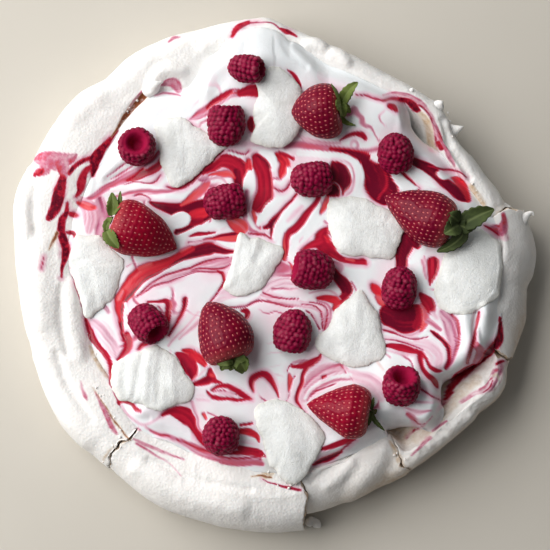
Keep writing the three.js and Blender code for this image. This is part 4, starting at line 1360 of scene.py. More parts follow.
# x, y, diameter, length, azimuth and elevation of the tip, sink into the cream
RASPBERRIES = (
    (-17, 112, 16, 20, 172, -20, 4), (-28, 80, 21, 23, 270, -8, 6), (-78, 68, 21, 20, 270, -82, 5),
    (-29, 37, 20, 23, 190, 8, 8), (20, 50, 19.5, 23, 185, 10, 6), (68, 65, 20, 22, 100, 40, 6),
    (22, -2, 22, 23, 350, -14, 6), (70, -11, 20.5, 22, 80, 35, 7), (10, -36, 21, 23, 78, 12, 6),
    (-72, -31, 20, 22, 130, -28, 6), (70, -68, 21, 22, 265, -52, 6), (-30, -94, 20.5, 22, 80, 62, 5),
)
RASPBERRY_PROFILE = (
    (0.0, -0.1), (0.22, -0.13), (0.36, -0.28), (0.5, -0.42), (0.66, -0.475), (0.84, -0.42), (0.97, -0.24),
    (1.0, -0.08), (0.97, 0.08), (0.83, 0.28), (0.52, 0.43), (0.22, 0.49), (0.0, 0.5),
)
RASPBERRY_GRID = (92, 108)  # rows and points round each
DRUPELET_BALL = 0.66  # of each drupelet's width, the radius of the ball it is part of
DRUPELET_SINK = 0.36  # of its width, how deep the ball's edge lies
# x, y, width, length, azimuth and elevation of the tip, sink, the two powers of the cone's taper, bend
STRAWBERRIES = (
    (23.5, 88, 31, 28, 182, -8, 9, 2.2, 0.75, 0), (-73, 19, 31, 41, 340, -8, 9, 1.7, 0.8, -2),
    (80, 30, 31, 43, 157, -6, 9, 1.5, 0.8, -2), (-29, -35.5, 31, 36, 108, -4, 8, 1.9, 0.75, 3.5),
    (35, -80, 29.5, 35.5, 171, -5, 8, 1.25, 0.9, 0),
)
STRAWBERRY_BACK = ((0.0, -0.45), (0.25, -0.475), (0.5, -0.49), (0.74, -0.465), (0.9, -0.39), (0.98, -0.29))
STRAWBERRY_GRID = (112, 140)  # rows and points round each
DIMPLE_DEPTH = 0.42  # mm
DIMPLE_WIDTH = 0.33  # of the seeds' spacing
SEED_LENGTH = 1.3  # mm
SEED_STAND = 0.1  # mm between a seed's middle and the floor of its dimple
CONE_SHARE = 0.7  # of a strawberry's length, from where it is widest to the tip
BACK_SHARE = 0.2  # of its length, from where it is widest to its middle
STRAWBERRY_RIPENESS = (1.0, 0.35, 1.0, 1.0, 0.5)
LEAF_SHADE = (0.0, 0.35, 1.0, 0.6, 0.8)
LEAF_ROWS = 32
LEAF_POINTS = 11  # across a leaf
LEAF_THICKNESS = 0.35
LEAF_CLEARANCE = 1.5  # mm over what a leaf lies on
# leaves of each strawberry: their width, then column, row and height over the berry's middle of each knot
LEAVES = (
    ("12: 340,106,2 345,96,4 351,88,6 358.5,82,7", "12: 339,102,4 342,110,5 345.5,117,2",
     "4.5: 340,106,3 337,96,7 331,83,9", "5: 339,112,0 345,122,-2 356,125.5,-3",
     "8: 340,106,2 346,108,0 351,113,-3"),
    ("12: 112.5,217,4 113,206,7 112,192,8", "6: 114,216,3 119,206,6 120.5,190.5,7",
     "8: 112,218,3 106.5,226,3 107.5,235,3", "13: 106,230,10 111,239,12 119,248.5,12"),
    ("20: 456,226,4 468,221,7 482,214,8 495,209,8", "19: 459,225,8 452,229,14 444,234,15",
     "17: 459,222,8 453,217,14 447,214,15", "13: 460,228,6 462,236,4 450,246,3 436,252,2",
     "14: 459,225,7 466,227,7 473,221,6"),
    ("10: 233,361,6 226,361.5,8 217,364.5,6", "9: 232,363,4 224,366,4 221,371,2",
     "15: 234,361,6 241,363,7 246,372,4", "8: 234,361,6 242,359,7 249,359.5,6",
     "8: 233,362,5 231,366,4 230,371,2", "10: 234,362,6 240,368,4 243,374,1"),
    ("4.5: 371,411,2 375,421,1 385,431,-2", "4: 371,410,3 372.5,403,5 374,397,5",
     "5: 371,412,3 370,418,5 368.5,426,4", "5: 371,410,3 374,412,1 377,409,-1"),
)


def berry_axes(x, y, width, length, azimuth, elevation, sink):
    """Rows side, up and tip of a berry, and its middle: it rests on the cream and sinks into it."""
    tip = np.array((cosine(elevation) * cosine(azimuth), cosine(elevation) * sine(azimuth), sine(elevation)))
    side = np.array((-sine(azimuth), cosine(azimuth), 0.0))
    upright = length / 2 * abs(sine(elevation))
    lying = width / 2 * cosine(elevation)
    height = float(rest_height(np.array([float(x)]), np.array([float(y)]))[0])
    middle = np.array((x, y, height + np.hypot(upright, lying) - sink))
    return np.array((side, np.cross(tip, side), tip)), middle


def turned_rings(profile, rows, sides, radius, length):
    """Rings of a profile turned round Z, evenly spaced along it, and the share of the way of each."""
    path = smooth_path([(r * radius, z * length) for r, z in profile], 0.2)
    travelled = travelled_along(path)
    shares = (np.arange(rows) + 0.7) / (rows + 0.4)
    radii = np.maximum(np.interp(shares * travelled[-1], travelled, path[:, 0]), 0.05)
    heights = np.interp(shares * travelled[-1], travelled, path[:, 1])
    return turned_profile(np.column_stack((radii, heights)), sides), shares * travelled[-1]


def seats(profile, radius, length, spacing, begin, seed):
    """Places in staggered rows round a turned profile, begin mm along it, with a little disorder."""
    random = np.random.default_rng(seed)
    path = smooth_path([(r * radius, z * length) for r, z in profile], 0.2)
    travelled = travelled_along(path)
    places = []
    for row, s in enumerate(np.arange(begin, travelled[-1] - 0.25 * spacing, spacing * 0.88)):
        r = np.interp(s, travelled, path[:, 0])
        z = np.interp(s, travelled, path[:, 1])
        count = max(3, round(2 * np.pi * r / spacing))
        steps = np.arange(count) + 0.5 * (row % 2) + random.uniform(-0.12, 0.12, count)
        turns = steps * 360 / count + 17 * row
        places.append(around(r + 0 * turns, z + random.uniform(-0.12, 0.12, count) * spacing, turns))
    return np.vstack((*places, (0, 0, path[-1, 1])))


def caps_over(points, places, size):
    """Largest height of spheres of the given radii round the places, 0 where none reaches."""
    gap = np.linalg.norm(points[:, None] - places[None], axis=2)
    return np.sqrt(np.maximum(size**2 - gap**2, 0)).max(axis=1)


def raspberry_piece(number, row, drupelet, material):
    """A raspberry: a turned shape with a hollow, swollen outside its lip by rounded drupelets."""
    diameter, length = row[2:4]
    axes, middle = berry_axes(*row)
    radius = diameter / 2 - 0.45
    grid, travelled = turned_rings(RASPBERRY_PROFILE, *RASPBERRY_GRID, radius, length - 0.6)
    begin = 0.58 * diameter
    places = seats(RASPBERRY_PROFILE, radius, length - 0.6, drupelet, begin, 100 + number)
    random = np.random.default_rng(130 + number)
    sizes = DRUPELET_BALL * drupelet * random.uniform(0.9, 1.1, len(places))
    places = places + random.uniform(-0.1, 0.1, places.shape) * drupelet
    flat = grid.reshape(-1, 3)
    cap = caps_over(flat, places, sizes).reshape(grid.shape[:2])
    outer = smoothstep(travelled, begin - 1.4, begin + 0.2)[:, None]
    normals = normals_of(grid)
    normals *= np.sign(normals[50, 0] @ grid[50, 0])
    fuzz = 0.12 * noise(flat, 2, 140 + number).reshape(cap.shape)
    relief = (cap - DRUPELET_SINK * drupelet) * outer + fuzz * (1 - outer)
    bend = 0.7 * noise(flat, 9, 150 + number).reshape(cap.shape)
    grid = grid + normals * (relief + bend * outer)[..., None]
    points, faces = skin(grid, grid[0].mean(axis=0), grid[-1].mean(axis=0))
    points = points @ axes + middle
    # crown: the drupelets' height, which the finish turns into painted shade and highlight
    crown = np.append((cap / (0.62 * drupelet)).ravel(), (0, 1))
    hollow = np.append((1 - outer + 0 * cap).ravel(), (1, 0))
    name = f"raspberry_{number + 1:02d}"
    return add_piece(name, points, faces, material, "raspberry", (name,), {"crown": crown, "hollow": hollow})


def seed_shape():
    """A pointed seed 1 long, as rings and faces."""
    rings = turned_profile(((0.16, -0.4), (0.3, -0.1), (0.24, 0.2)), 6)
    return skin(rings * np.array((1, 0.6, 1)), (0, 0, -0.5), (0, 0, 0.5))


def copies(shape, places, frames, sizes):
    """Many copies of one small shape, each turned by its frame, scaled and put in its place."""
    points, faces = shape
    moved = np.einsum("pi,nij->npj", points, frames) * sizes[:, None, None] + places[:, None]
    base = np.arange(len(places))[:, None, None] * len(points)
    return moved.reshape(-1, 3), [(group[None] + base).reshape(-1, group.shape[1]) for group in faces]


def strawberry_profile(first, second):
    """A rounded back, then a cone: its radius is (1 - u^first)^second over the way u to the tip."""
    u = np.linspace(0, 0.96, 13)
    cone = zip((1 - u**first) ** second, CONE_SHARE * u - BACK_SHARE)
    return (*STRAWBERRY_BACK, *cone, (0.0, 0.5))


def bent(points, length, bend):
    """The tip of a turned shape moved sideways, growing with the square of the way to the tip."""
    way = np.maximum(points[..., 2] / length + BACK_SHARE, 0) / CONE_SHARE
    return points + np.multiply.outer(bend * way**2, (1, 0, 0))


def strawberry_piece(number, row, spacing, material):
    """A strawberry: a turned shape, a little uneven, with a shallow dimple for each seed."""
    radius = row[2] / 2
    length = row[3]
    axes, middle = berry_axes(*row[:7])
    profile = strawberry_profile(*row[7:9])
    grid = turned_rings(profile, *STRAWBERRY_GRID, radius, length)[0]
    flat = grid.reshape(-1, 3)
    places = seats(profile, radius, length, spacing, 0.72 * radius, 200 + number)[:-1]
    gap = np.linalg.norm(flat[:, None] - places[None], axis=2).min(axis=1).reshape(grid.shape[:2])
    normals = normals_of(grid)
    normals *= np.sign(normals[50, 0] @ grid[50, 0])
    uneven = 0.9 * noise(flat, 15, 210 + number) + 0.3 * noise(flat, 6, 215 + number)
    dimple = np.exp(-((gap / (DIMPLE_WIDTH * spacing)) ** 2))
    fine = 0.05 * noise(flat, 1.1, 217 + number).reshape(gap.shape)
    grid = grid + normals * (uneven.reshape(gap.shape) - DIMPLE_DEPTH * dimple + fine)[..., None]
    body = skin(grid, grid[0].mean(axis=0), grid[-1].mean(axis=0))
    nearest = np.linalg.norm(flat[:, None] - places[None], axis=2).argmin(axis=0)
    stands = grid.reshape(-1, 3)[nearest]
    out = normals.reshape(-1, 3)[nearest]
    down = np.array((0, 0, 1.0)) - out * out[:, 2:]
    down /= np.maximum(np.linalg.norm(down, axis=1, keepdims=True), 1e-6)
    frames = np.stack((np.cross(out, down), out, down), axis=1)
    seeds = copies(seed_shape(), stands + out * SEED_STAND, frames, np.full(len(stands), SEED_LENGTH))
    points, faces = join((body, seeds))
    is_seed = np.concatenate((np.zeros(len(body[0])), np.ones(len(seeds[0]))))
    shoulder = smoothstep(points[:, 2], -0.3 * length, -0.47 * length)
    pit = np.concatenate((dimple.ravel(), (0, 0), np.zeros(len(seeds[0]))))
    name = f"strawberry_{number + 1:02d}"
    ripe = np.full(len(points), STRAWBERRY_RIPENESS[number])
    fields = {"seed": is_seed, "shoulder": shoulder, "pit": pit, "ripe": ripe}
    points = bent(points, length, row[9]) @ axes + middle
    return add_piece(name, points, faces, material, "strawberry", (name,), fields)


def strawberry_top(row, x, y):
    """Height of a strawberry's upper side over plan places, from its turned shape; far below beside it."""
    _, middle = berry_axes(*row[:7])
    width, length, azimuth, elevation = row[2:6]
    first, second, bend = row[7:]
    along = ((x - middle[0]) * cosine(azimuth) + (y - middle[1]) * sine(azimuth)) / cosine(elevation)
    across = (y - middle[1]) * cosine(azimuth) - (x - middle[0]) * sine(azimuth)
    way = along / length + BACK_SHARE
    back = np.sqrt(np.clip(1 - (way / (1 - CONE_SHARE)) ** 2, 0, 1))
    cone = (1 - np.clip(way / CONE_SHARE, 0, 1) ** first) ** second
    radius = width / 2 * np.where(way < 0, back, cone)
    across = across - bend * (np.maximum(way, 0) / CONE_SHARE) ** 2
    rise = np.sqrt(np.maximum(radius**2 - across**2, 0))
    return np.where(radius > abs(across), middle[2] + along * sine(elevation) + rise, -100.0)


def leaf_shape(line, row, seed):
    """A pointed leaf along a line of knots seen from above, and its fields.

    Its width swells and narrows to a point across the line; its section is folded along the middle and
    wavy at the edges; it lies over its strawberry and over the cream.
    """
    wide, places = line.split(":")
    knots = knots_of(places)
    middle = berry_axes(*row[:7])[1]
    height = middle[2] + knots[:, 2]
    path = smooth_path(from_view(knots[:, 0], knots[:, 1], lambda x, y: height), 0.5)
    travelled = travelled_along(path)
    t = np.linspace(0, 1, LEAF_ROWS + 2)[1:-1]
    spine = np.stack([np.interp(t * travelled[-1], travelled, path[:, k]) for k in range(3)], -1)
    ahead = np.gradient(spine, axis=0)
    side = np.stack((-ahead[:, 1], ahead[:, 0], 0 * t), -1)
    side /= np.linalg.norm(side, axis=1, keepdims=True)
    swell = np.sin(np.pi * (0.1 + 0.9 * t) ** 0.85) ** 0.75
    teeth = 1 + 0.07 * np.sin(38 * t + seed) * smoothstep(t, 0.15, 0.4)
    half = 0.29 * float(wide) * swell * teeth + 0.05
    across = np.linspace(-1, 1, LEAF_POINTS)
    over = np.concatenate((across, across[-2:0:-1]))
    under = np.concatenate((np.zeros(LEAF_POINTS), np.ones(LEAF_POINTS - 2)))
    fold = 0.35 * abs(over) + 0.14 * np.sin(2.6 * over + 5 * t[:, None] + seed) * abs(over)
    points = spine[:, None] + side[:, None] * (half[:, None] * over)[..., None]
    top = points[..., 2] + fold * half[:, None] + 0.3 * np.sin(9 * t + seed)[:, None] * abs(over)
    x, y = points[..., 0], points[..., 1]
    rest = np.maximum(strawberry_top(row, x, y), cream_top(x, y))
    top = np.maximum(top, rest + LEAF_CLEARANCE)
    thick = LEAF_THICKNESS * (1 - over**2) + 0.12
    points[..., 2] = top - under * thick
    ends = spine[0] + (0, 0, top[0].mean() - spine[0, 2]), spine[-1] + 0.4 * ahead[-1]
    ends[1][2] = top[-1].mean()
    vein = np.append(np.tile(np.exp(-((over / 0.1) ** 2)), len(t)), (1, 1))
    along = np.append(np.repeat(t, len(over)), (0, 1))
    return skin(points, *ends), vein, along


def calyx_piece(number, row, material):
    """The leaves of a strawberry and the short stalk they grow from."""
    axes, middle = berry_axes(*row[:7])
    leaves = (leaf_shape(line, row, 10 * number + k) for k, line in enumerate(LEAVES[number]))
    shapes, veins, lengths = zip(*leaves)
    stalk = turned_profile(((2.4, 0.7), (2.0, -0.5), (1.2, -1.2), (0.9, -2.0), (0.8, -2.6)), 16)
    points, faces = skin(stalk, (0, 0, 0.8), (0, 0, -2.7))
    stem = (points - (0, 0, row[3] / 2)) @ axes + middle, faces
    points, faces = join((*shapes, stem))
    name = f"calyx_{number + 1:02d}"
    plain = np.zeros(len(stem[0]))
    fields = {
        "vein": np.concatenate((*veins, plain)), "along": np.concatenate((*lengths, plain)),
        "shade": np.full(len(points), LEAF_SHADE[number]),
    }
    return add_piece(name, points, faces, material, "leaf", (name,), fields)


# ---------------------------------------------------------------- petals

# for each petal its outline by column and row, its crown in mm, and its creases as the folds of the rim
PETALS = (
    ("264,70 271,66 279,66 287,71 294,78 300,85 302,92 303,101 304,110 303,120 300,130 295,138 288,145 "
     "281,148 270,148 260,146 252,142 251,137 255,127 254,118 253,110 256,101 258,92 256,84 253,79 "
     "257,73", 2.5,
     ((-0.7, "256,104,5 262,112,5 264,120,4"), (0.8, "270,80,10 276,105,14 276,130,12"))),
    ("154,124 162,119 172,117 182,117 189,121 197,127 205,131 212,134 219,139 226,146 221,151 213,159 "
     "205,167 198,174 191,179 184,184 177,187 170,184 166,174 161,163 159,152 157,140 155,131", 2.0,
     ((1.0, "166,124,8 168,145,10 172,165,8"), (-0.9, "207,133,4 212,146,7 209,160,5"),
      (-0.7, "184,120,6 186,145,8 184,170,7"), (1.0, "171,181,4 178,184,5 186,181,4"))),
    ("73,240 77,234 88,235 98,234 103,238 108,245 114,251 120,256 124,261 122,270 119,280 117,290 "
     "112,299 107,303 103,308 97,312 91,317 85,318 82,308 79,298 76,288 73,277 70,267 69,258 70,250", 2.0,
     ((-0.8, "70,262,3 84,258,4 100,261,4 122,262,3"), (1.3, "76,270,6 82,288,7 88,306,6"),
      (-1.0, "88,268,6 92,284,7 98,304,6"), (0.8, "78,242,8 96,246,9"))),
    ("239,233 245,234 251,238 258,237 266,240 274,243 283,248 282,257 277,266 271,275 266,283 260,289 "
     "252,293 244,296 235,296 228,292 223,287 227,275 231,262 235,247", 1.5,
     ((1.2, "241,236,5 236,258,6 230,284,5"), (-1.6, "263,241,6 263,250,8 258,262,7"),
      (0.8, "257,240,6 252,256,8 246,276,8"))),
    ("330,199 338,197 350,196 358,197 368,199 378,205 388,209 397,215 405,221 404,229 402,236 400,243 "
     "397,250 394,256 388,259 378,258 365,256 352,256 342,253 336,247 332,237 329,226 327,212", 2.2,
     ((0.9, "344,202,10 352,224,14 350,248,10"), (-0.6, "390,214,4 386,224,6 392,238,5"),
      (0.9, "398,220,6 400,228,6"), (-0.8, "332,204,5 342,208,6 350,203,5"))),
    ("472,229 478,228 486,232 494,237 500,245 502,258 502,270 500,283 498,296 490,302 481,308 470,313 "
     "458,314 447,312 440,307 436,298 435,288 438,277 441,265 445,254 452,244 461,234", 1.6,
     ((0.8, "437,300,3 450,311,4 468,310,4 484,303,4 496,293,3"), (0.7, "499,246,3 500,266,3 498,286,3"),
      (-0.7, "446,262,5 443,284,6 448,302,5"))),
    ("358,290 363,291 367,297 371,304 377,313 380,322 382,333 385,343 386,352 382,359 374,362 366,366 "
     "356,368 346,366 336,361 326,356 317,350 315,342 319,335 328,327 333,316 336,309 343,303 350,298", 2.4,
     ((-1.0, "318,344,6 328,340,7 338,350,6"), (0.9, "340,312,8 342,335,10 348,358,8"),
      (-0.6, "362,300,6 364,325,8 360,352,8"))),
    ("157,345 163,349 170,353 176,357 180,363 184,372 189,379 194,386 193,395 188,402 178,404 168,408 "
     "160,411 150,409 140,404 130,402 120,400 115,394 112,386 112,377 114,366 121,359 130,354 140,350 "
     "149,347", 1.5,
     ((-1.3, "142,352,4 138,372,6 134,398,5"), (1.2, "150,349,5 147,374,7 146,402,6"),
      (-1.2, "162,352,5 160,376,7 160,404,6"), (1.0, "172,358,5 174,380,7 176,400,5"),
      (-1.0, "126,360,5 124,378,6 126,396,5"), (0.8, "116,368,5 117,384,6"))),
    ("256,406 264,401 275,399 286,401 296,406 305,412 313,419 320,427 325,436 323,445 319,454 313,463 "
     "308,472 302,480 295,484 286,482 279,477 276,470 269,464 266,455 264,446 262,438 258,430 255,420 "
     "254,412", 2.0,
     ((-0.8, "262,418,6 270,438,8 276,458,6"), (1.0, "284,408,10 288,436,14 290,462,10"),
      (-0.7, "304,420,6 308,442,8 300,466,7"), (0.7, "316,432,5 317,446,5"))),
)
PETAL_ROWS = 44
PETAL_COLUMNS = 220
PETAL_CLEARANCE = 0.35  # mm over what a petal lies on, and the softness of that limit
# how much of the slopes and bends of what it lies on a petal takes over: level, x, y, x^2, xy, y^2
PETAL_YIELD = (1, 0.2, 0.3, 0.5, 0.6, 0.6)


def closed_path(knots, count):
    """Evenly spaced points on a closed Catmull-Rom curve through the knots."""
    parts = [arc(*(np.roll(knots, 1 - k, axis=0)[:4]), 24) for k in range(len(knots))]
    path = np.vstack((*parts, knots[:1]))
    travelled = travelled_along(path)
    places = np.arange(count) * travelled[-1] / count
    return np.stack([np.interp(places, travelled, path[:, k]) for k in (0, 1)], -1)


def petal_piece(number, row, thickness, material):
    """A sugared petal: a thin leaf with a frayed outline, laid over the cream.

    Its height is the quadratic surface nearest to what it lies on, plus crown (1 - share^2), creases
    and curled edges, and never under the cream.
    """
    outline, crown, creases = row
    knots = knots_of(outline)
    border = from_view(knots[:, 0], knots[:, 1], lambda x, y: rest_height(x, y) + 3)[:, :2]
    border = closed_path(border, PETAL_COLUMNS)
    middle = border.mean(axis=0)
    shares = np.sin(np.linspace(0, np.pi / 2, PETAL_ROWS + 1)[1:])[:, None]
    spokes = border - middle
    flat = np.column_stack((border, np.zeros(PETAL_COLUMNS)))
    fray = 0.45 * noise(flat, 3.6, 340 + number) + 0.3 * noise(flat, 1.2, 360 + number)
    reach = shares * (1 + fray / np.hypot(*spokes.T) * shares**8)
    x, y = middle[:, None, None] + spokes.T[:, None] * reach
    rest = cake_top(x, y)
    u, v = (x - middle[0]) / 20, (y - middle[1]) / 20
    terms = np.stack((1 + 0 * u, u, v, u * u, u * v, v * v), -1)
    shape = np.linalg.lstsq(terms.reshape(-1, 6), rest.ravel(), rcond=None)[0]
    fit = terms @ (shape * PETAL_YIELD)
    lying = fit + np.quantile(rest - fit, 0.9) + 0.5 + crown * (1 - shares**2)
    place = np.stack((x, y, lying), -1).reshape(-1, 3)
    creased = folds(place, creases).reshape(x.shape)
    crumple = 0.28 * noise(place, 8, 300 + number) + 0.09 * noise(place, 2.8, 310 + number)
    curl = 0.9 * noise(place, 13, 320 + number).reshape(x.shape) * shares**4
    height = lying + 0.36 * creased + crumple.reshape(x.shape) + curl - 0.5 * shares**8
    floor = rest + PETAL_CLEARANCE
    height = floor + PETAL_CLEARANCE * np.logaddexp(0, (height - floor) / PETAL_CLEARANCE)
    body = thickness * np.sqrt(np.clip(1 - shares**10, 0, 1)) + 0.12
    upper = np.stack((x, y, height + body), -1)
    lower = np.stack((x, y, height), -1)
    rings = np.concatenate((lower, upper[::-1]))
    points, faces = skin(rings, (*middle, height[0].mean()), (*middle, (height + body)[0].mean()))
    both = np.concatenate((shares, shares[::-1]))
    edge = np.append(np.tile(both, (1, PETAL_COLUMNS)).ravel(), (0, 0))
    name = f"petal_{number + 1:02d}"
    return add_piece(name, points, faces, material, "petal", (name,), {"edge": edge})


# ---------------------------------------------------------------- crumbs

CRUMB_LINES = (
    "95,388 104,402 114,418 128,438", "128,438 112,450 100,462", "262,458 270,476 290,488 298,496",
    "388,432 396,450 402,470", "441,110 448,126 460,134", "146,88 136,100 124,120", "470,186 482,206",
    "88,334 98,352 108,372",
)


def crumbs_piece(count, material):
    """Crumbs along the breaks: rough little balls of 26 faces that rest on what is under them."""
    random = np.random.default_rng(77)
    rings = turned_profile(((0.3, -0.42), (0.5, -0.1), (0.42, 0.25)), 6)
    shape = skin(rings * (1 + 0.25 * random.uniform(-1, 1, rings.shape)), (0, 0, -0.5), (0, 0, 0.48))
    columns, rows = [], []
    for line in CRUMB_LINES:
        path = smooth_path(knots_of(line), 1.0)
        picked = path[random.integers(0, len(path), count // len(CRUMB_LINES))]
        picked = picked + random.normal(0, 3.2, picked.shape)
        columns.append(picked[:, 0])
        rows.append(picked[:, 1])
    sizes = 0.5 + 1.4 * random.power(0.6, sum(map(len, columns))) ** 2
    places = from_view(np.concatenate(columns), np.concatenate(rows), rest_height)
    x, y = places[:, 0], places[:, 1]
    outside = np.hypot(x, y) > ring_curve(CREAM_EDGE, turn_of(x, y))
    places[:, 2] += 0.15 * sizes + np.where(outside, rim_relief(places), 0)
    frames = np.linalg.qr(random.normal(size=(len(places), 3, 3)))[0]
    frames *= np.sign(np.linalg.det(frames))[:, None, None]
    points, faces = copies(shape, places, frames, sizes)
    return add_piece("crumbs", points, faces, material, "meringue", (), {"bake": np.full(len(points), 0.12)})


# ---------------------------------------------------------------- finishes of the pieces


def sauce_colour(finish, base, colours, sauce, warmth):
    """Colour of sauce over a base: a cool and a warm ramp from thin to deep, mixed by warmth."""
    thin = (0.0, base), (0.10, blend_colour(base, colours.blush, 0.5)), (0.20, colours.blush)
    cool = finish.ramp(sauce, (
        *thin, (0.32, blend_colour(colours.blush, colours.mauve, 0.45)), (0.46, colours.mauve),
        (0.66, colours.line), (0.84, colours.red), (1.0, colours.deep),
    ))
    warm = finish.ramp(sauce, (
        *thin, (0.32, blend_colour(colours.blush, colours.rose, 0.6)), (0.44, colours.rose),
        (0.58, colours.coral), (0.76, colours.scarlet), (1.0, colours.deep),
    ))
    return finish.mix(warmth, cool, warm)


def blend_colour(first, second, share):
    """The two colours mixed by share."""
    return tuple(float(blend(a, b, share)) for a, b in zip(first, second))


def meringue_finish(colours):
    """Chalky baked meringue: white, tan where it is broken or browned, stained by the sauce.

    Low on the rim's right outside the tan is painted shade and brown bounce light.
    """
    finish = Finish("baked meringue")
    sauce = finish.field("sauce")
    bake = finish.field("bake")
    patches = finish.grain(26, 3)
    chalk = finish.grain(0.9, 3, 0.6)
    mottle = finish.grain(3.2, 3, 0.6)
    stain = ((sauce - 0.02) * (mottle * 1.1 + 0.45)).held()
    warmer = blend_colour(colours.meringue, colours.tan, 0.07)
    white = finish.mix((patches - 0.35).held() * 0.5, colours.meringue, warmer)
    # The tan here also paints shade and bounce light low on the rim's right outside.
    tan_to_brown = finish.mix((bake - 0.55).held() * 2.2, colours.tan, colours.brown)
    tan_mixed = finish.mix((bake * (mottle * 2.2)).held(), white, tan_to_brown)
    stained = sauce_colour(finish, (1.0, 1.0, 1.0), colours, stain, finish.field("warmth"))
    colour = finish.mix(1.0, tan_mixed, stained, "MULTIPLY")
    pits = (finish.cells(1.6) * 1.4).held()
    normal = finish.bump((mottle, 0.18), (pits, 0.14), (chalk, 0.12))
    rough = 0.93 - (sauce - 0.3).held() * 0.55
    return finish.set(
        Base_Color=colour, Roughness=rough, Normal=normal, Specular_IOR_Level=0.12,
        Subsurface_Weight=0.12, Subsurface_Scale=0.004, Subsurface_Radius=(1.0, 0.85, 0.75),
    )


def cream_finish(colours):
    """Whipped cream: satin white, glossier and coloured where there is sauce."""
    finish = Finish("whipped cream with berry sauce")
    sauce = finish.field("sauce")
    small = finish.grain(2.6, 3, 0.6)
    fine = finish.grain(0.7, 2)
    cloudy = (sauce + (small - 0.5) * 0.07 * (sauce * 4).held()).held()
    colour = sauce_colour(finish, colours.cream, colours, cloudy, finish.field("warmth"))
    tan_mixed = finish.mix((finish.field("bake") * 0.6).held(), colour, colours.tan)
    wet = sauce.between(0.25, 0.7)
    normal = finish.bump((small * (1 - wet * 0.6), 0.14), (fine * (1 - wet * 0.8), 0.03))
    return finish.set(
        Base_Color=tan_mixed, Roughness=0.48 - wet * 0.26, Normal=normal, Coat_Weight=wet * 0.12,
        Coat_Roughness=0.12, Specular_IOR_Level=0.22,
        Subsurface_Weight=0.10, Subsurface_Scale=0.003, Subsurface_Radius=(1.0, 0.8, 0.75),
    )


def raspberry_finish(colours):
    """Raspberry skin: painted shade between the drupelets, a painted pink highlight on their crowns."""
    finish = Finish("raspberry skin")
    crown = finish.field("crown").held()
    hollow = finish.field("hollow").held()
    patches = finish.grain(5, 2)
    # Painted shade in the creases between drupelets and a painted pink highlight on their crowns.
    skin_shade_and_highlight = finish.ramp((crown * 0.75 + patches * 0.35 - 0.05).held(), (
        (0.0, blend_colour(colours.raspberry_crevice_shade, (0, 0, 0), 0.45)), (0.45, colours.raspberry_crevice_shade),
        (0.85, colours.raspberry), (1.0, blend_colour(colours.raspberry, (1, 0.6, 0.65), 0.14)),
    ))
    colour = finish.mix(hollow, skin_shade_and_highlight, blend_colour(colours.raspberry, (0.45, 0.006, 0.045), 0.2))
    bloom = finish.grain(0.6, 3, 0.7)
    normal = finish.bump((bloom, 0.05))
    rough = 0.40 + patches * 0.16 + hollow * 0.3
    return finish.set(
        Base_Color=colour, Roughness=rough, Normal=normal, Specular_IOR_Level=0.15,
        Subsurface_Weight=0.08, Subsurface_Scale=0.0015, Subsurface_Radius=(1.0, 0.2, 0.2),
    )


def strawberry_finish(colours):
    """Glossy strawberry skin, deeper in the dimples, paler at the shoulder, with pale seeds."""
    finish = Finish("strawberry skin")
    seed = finish.field("seed").held()
    patches = finish.grain(9, 3)
    ripe = (finish.field("ripe") + (0.5 - patches) * 1.1).held()
    flesh = finish.mix(ripe, colours.strawberry, colours.strawberry_dark)
    paler = blend_colour(colours.strawberry, (1, 0.4, 0.35), 0.08)
    palest = blend_colour(colours.strawberry, (0.9, 0.4, 0.3), 0.2)
    rimmed = finish.mix((finish.field("pit") * 0.25).held(), flesh, paler)
    shoulder = finish.mix((finish.field("shoulder") * 0.4).held(), rimmed, palest)
    colour = finish.mix(seed, shoulder, colours.seed)
    normal = finish.bump((finish.grain(1.5, 2), 0.16))
    return finish.set(
        Base_Color=colour, Roughness=0.32 + seed * 0.2 + patches * 0.1, Normal=normal,
        Specular_IOR_Level=0.10, Coat_Weight=0.06, Coat_Roughness=0.14,
        Subsurface_Weight=0.06, Subsurface_Scale=0.002, Subsurface_Radius=(1.0, 0.2, 0.15),
    )


def leaf_finish(colours):
    """Green leaf with a paler middle vein, darker towards the stalk."""
    finish = Finish("strawberry leaf")
    patches = finish.grain(2.5, 3)
    vein = finish.field("vein").held()
    yellower = blend_colour(colours.leaf, (0.35, 0.4, 0.12), 0.4)
    tip = blend_colour(colours.leaf, (0.02, 0.03, 0.01), 0.5)
    fresh = finish.mix(patches.between(0.3, 0.7), colours.leaf, yellower)
    green = finish.mix((finish.field("shade") + (patches - 0.5) * 0.8).held(), fresh, colours.leaf_dark)
    tipped = finish.mix((finish.field("along") * 0.35).held(), green, tip)
    colour = finish.mix(vein * 0.35, tipped, (0.30, 0.36, 0.14))
    normal = finish.bump((patches, 0.12), (finish.grain(0.6, 2), 0.05))
    rough = 0.62 + patches * 0.1
    return finish.set(Base_Color=colour, Roughness=rough, Normal=normal, Specular_IOR_Level=0.2)


def petal_finish(colours):
    """Petal under fine sugar: off-white, greyer where the sugar is thin, a little warmer at the edge."""
    finish = Finish("sugared petal")
    coarse = finish.grain(1.5, 3, 0.65)
    patches = finish.grain(9, 3)
    edge = finish.field("edge").held()
    thin = patches.between(0.42, 0.72)
    greyer = blend_colour(colours.petal, (0.55, 0.55, 0.5), 0.35)
    cloud = finish.mix(thin * 0.75, colours.petal, greyer)
    rimmed = finish.mix((edge ** 14) * 0.5, cloud, colours.petal_edge)
    hollow = blend_colour(colours.petal, (0.3, 0.3, 0.28), 0.5)
    shade = finish.mix(coarse.between(0.3, 0.6) * 0.2, rimmed, hollow)
    normal = finish.bump((coarse, 0.38), (finish.grain(0.6, 2), 0.26))
    return finish.set(
        Base_Color=shade, Roughness=0.7 + coarse * 0.15, Normal=normal, Specular_IOR_Level=0.3,
        Subsurface_Weight=0.15, Subsurface_Scale=0.002, Subsurface_Radius=(1.0, 0.9, 0.8),
    )


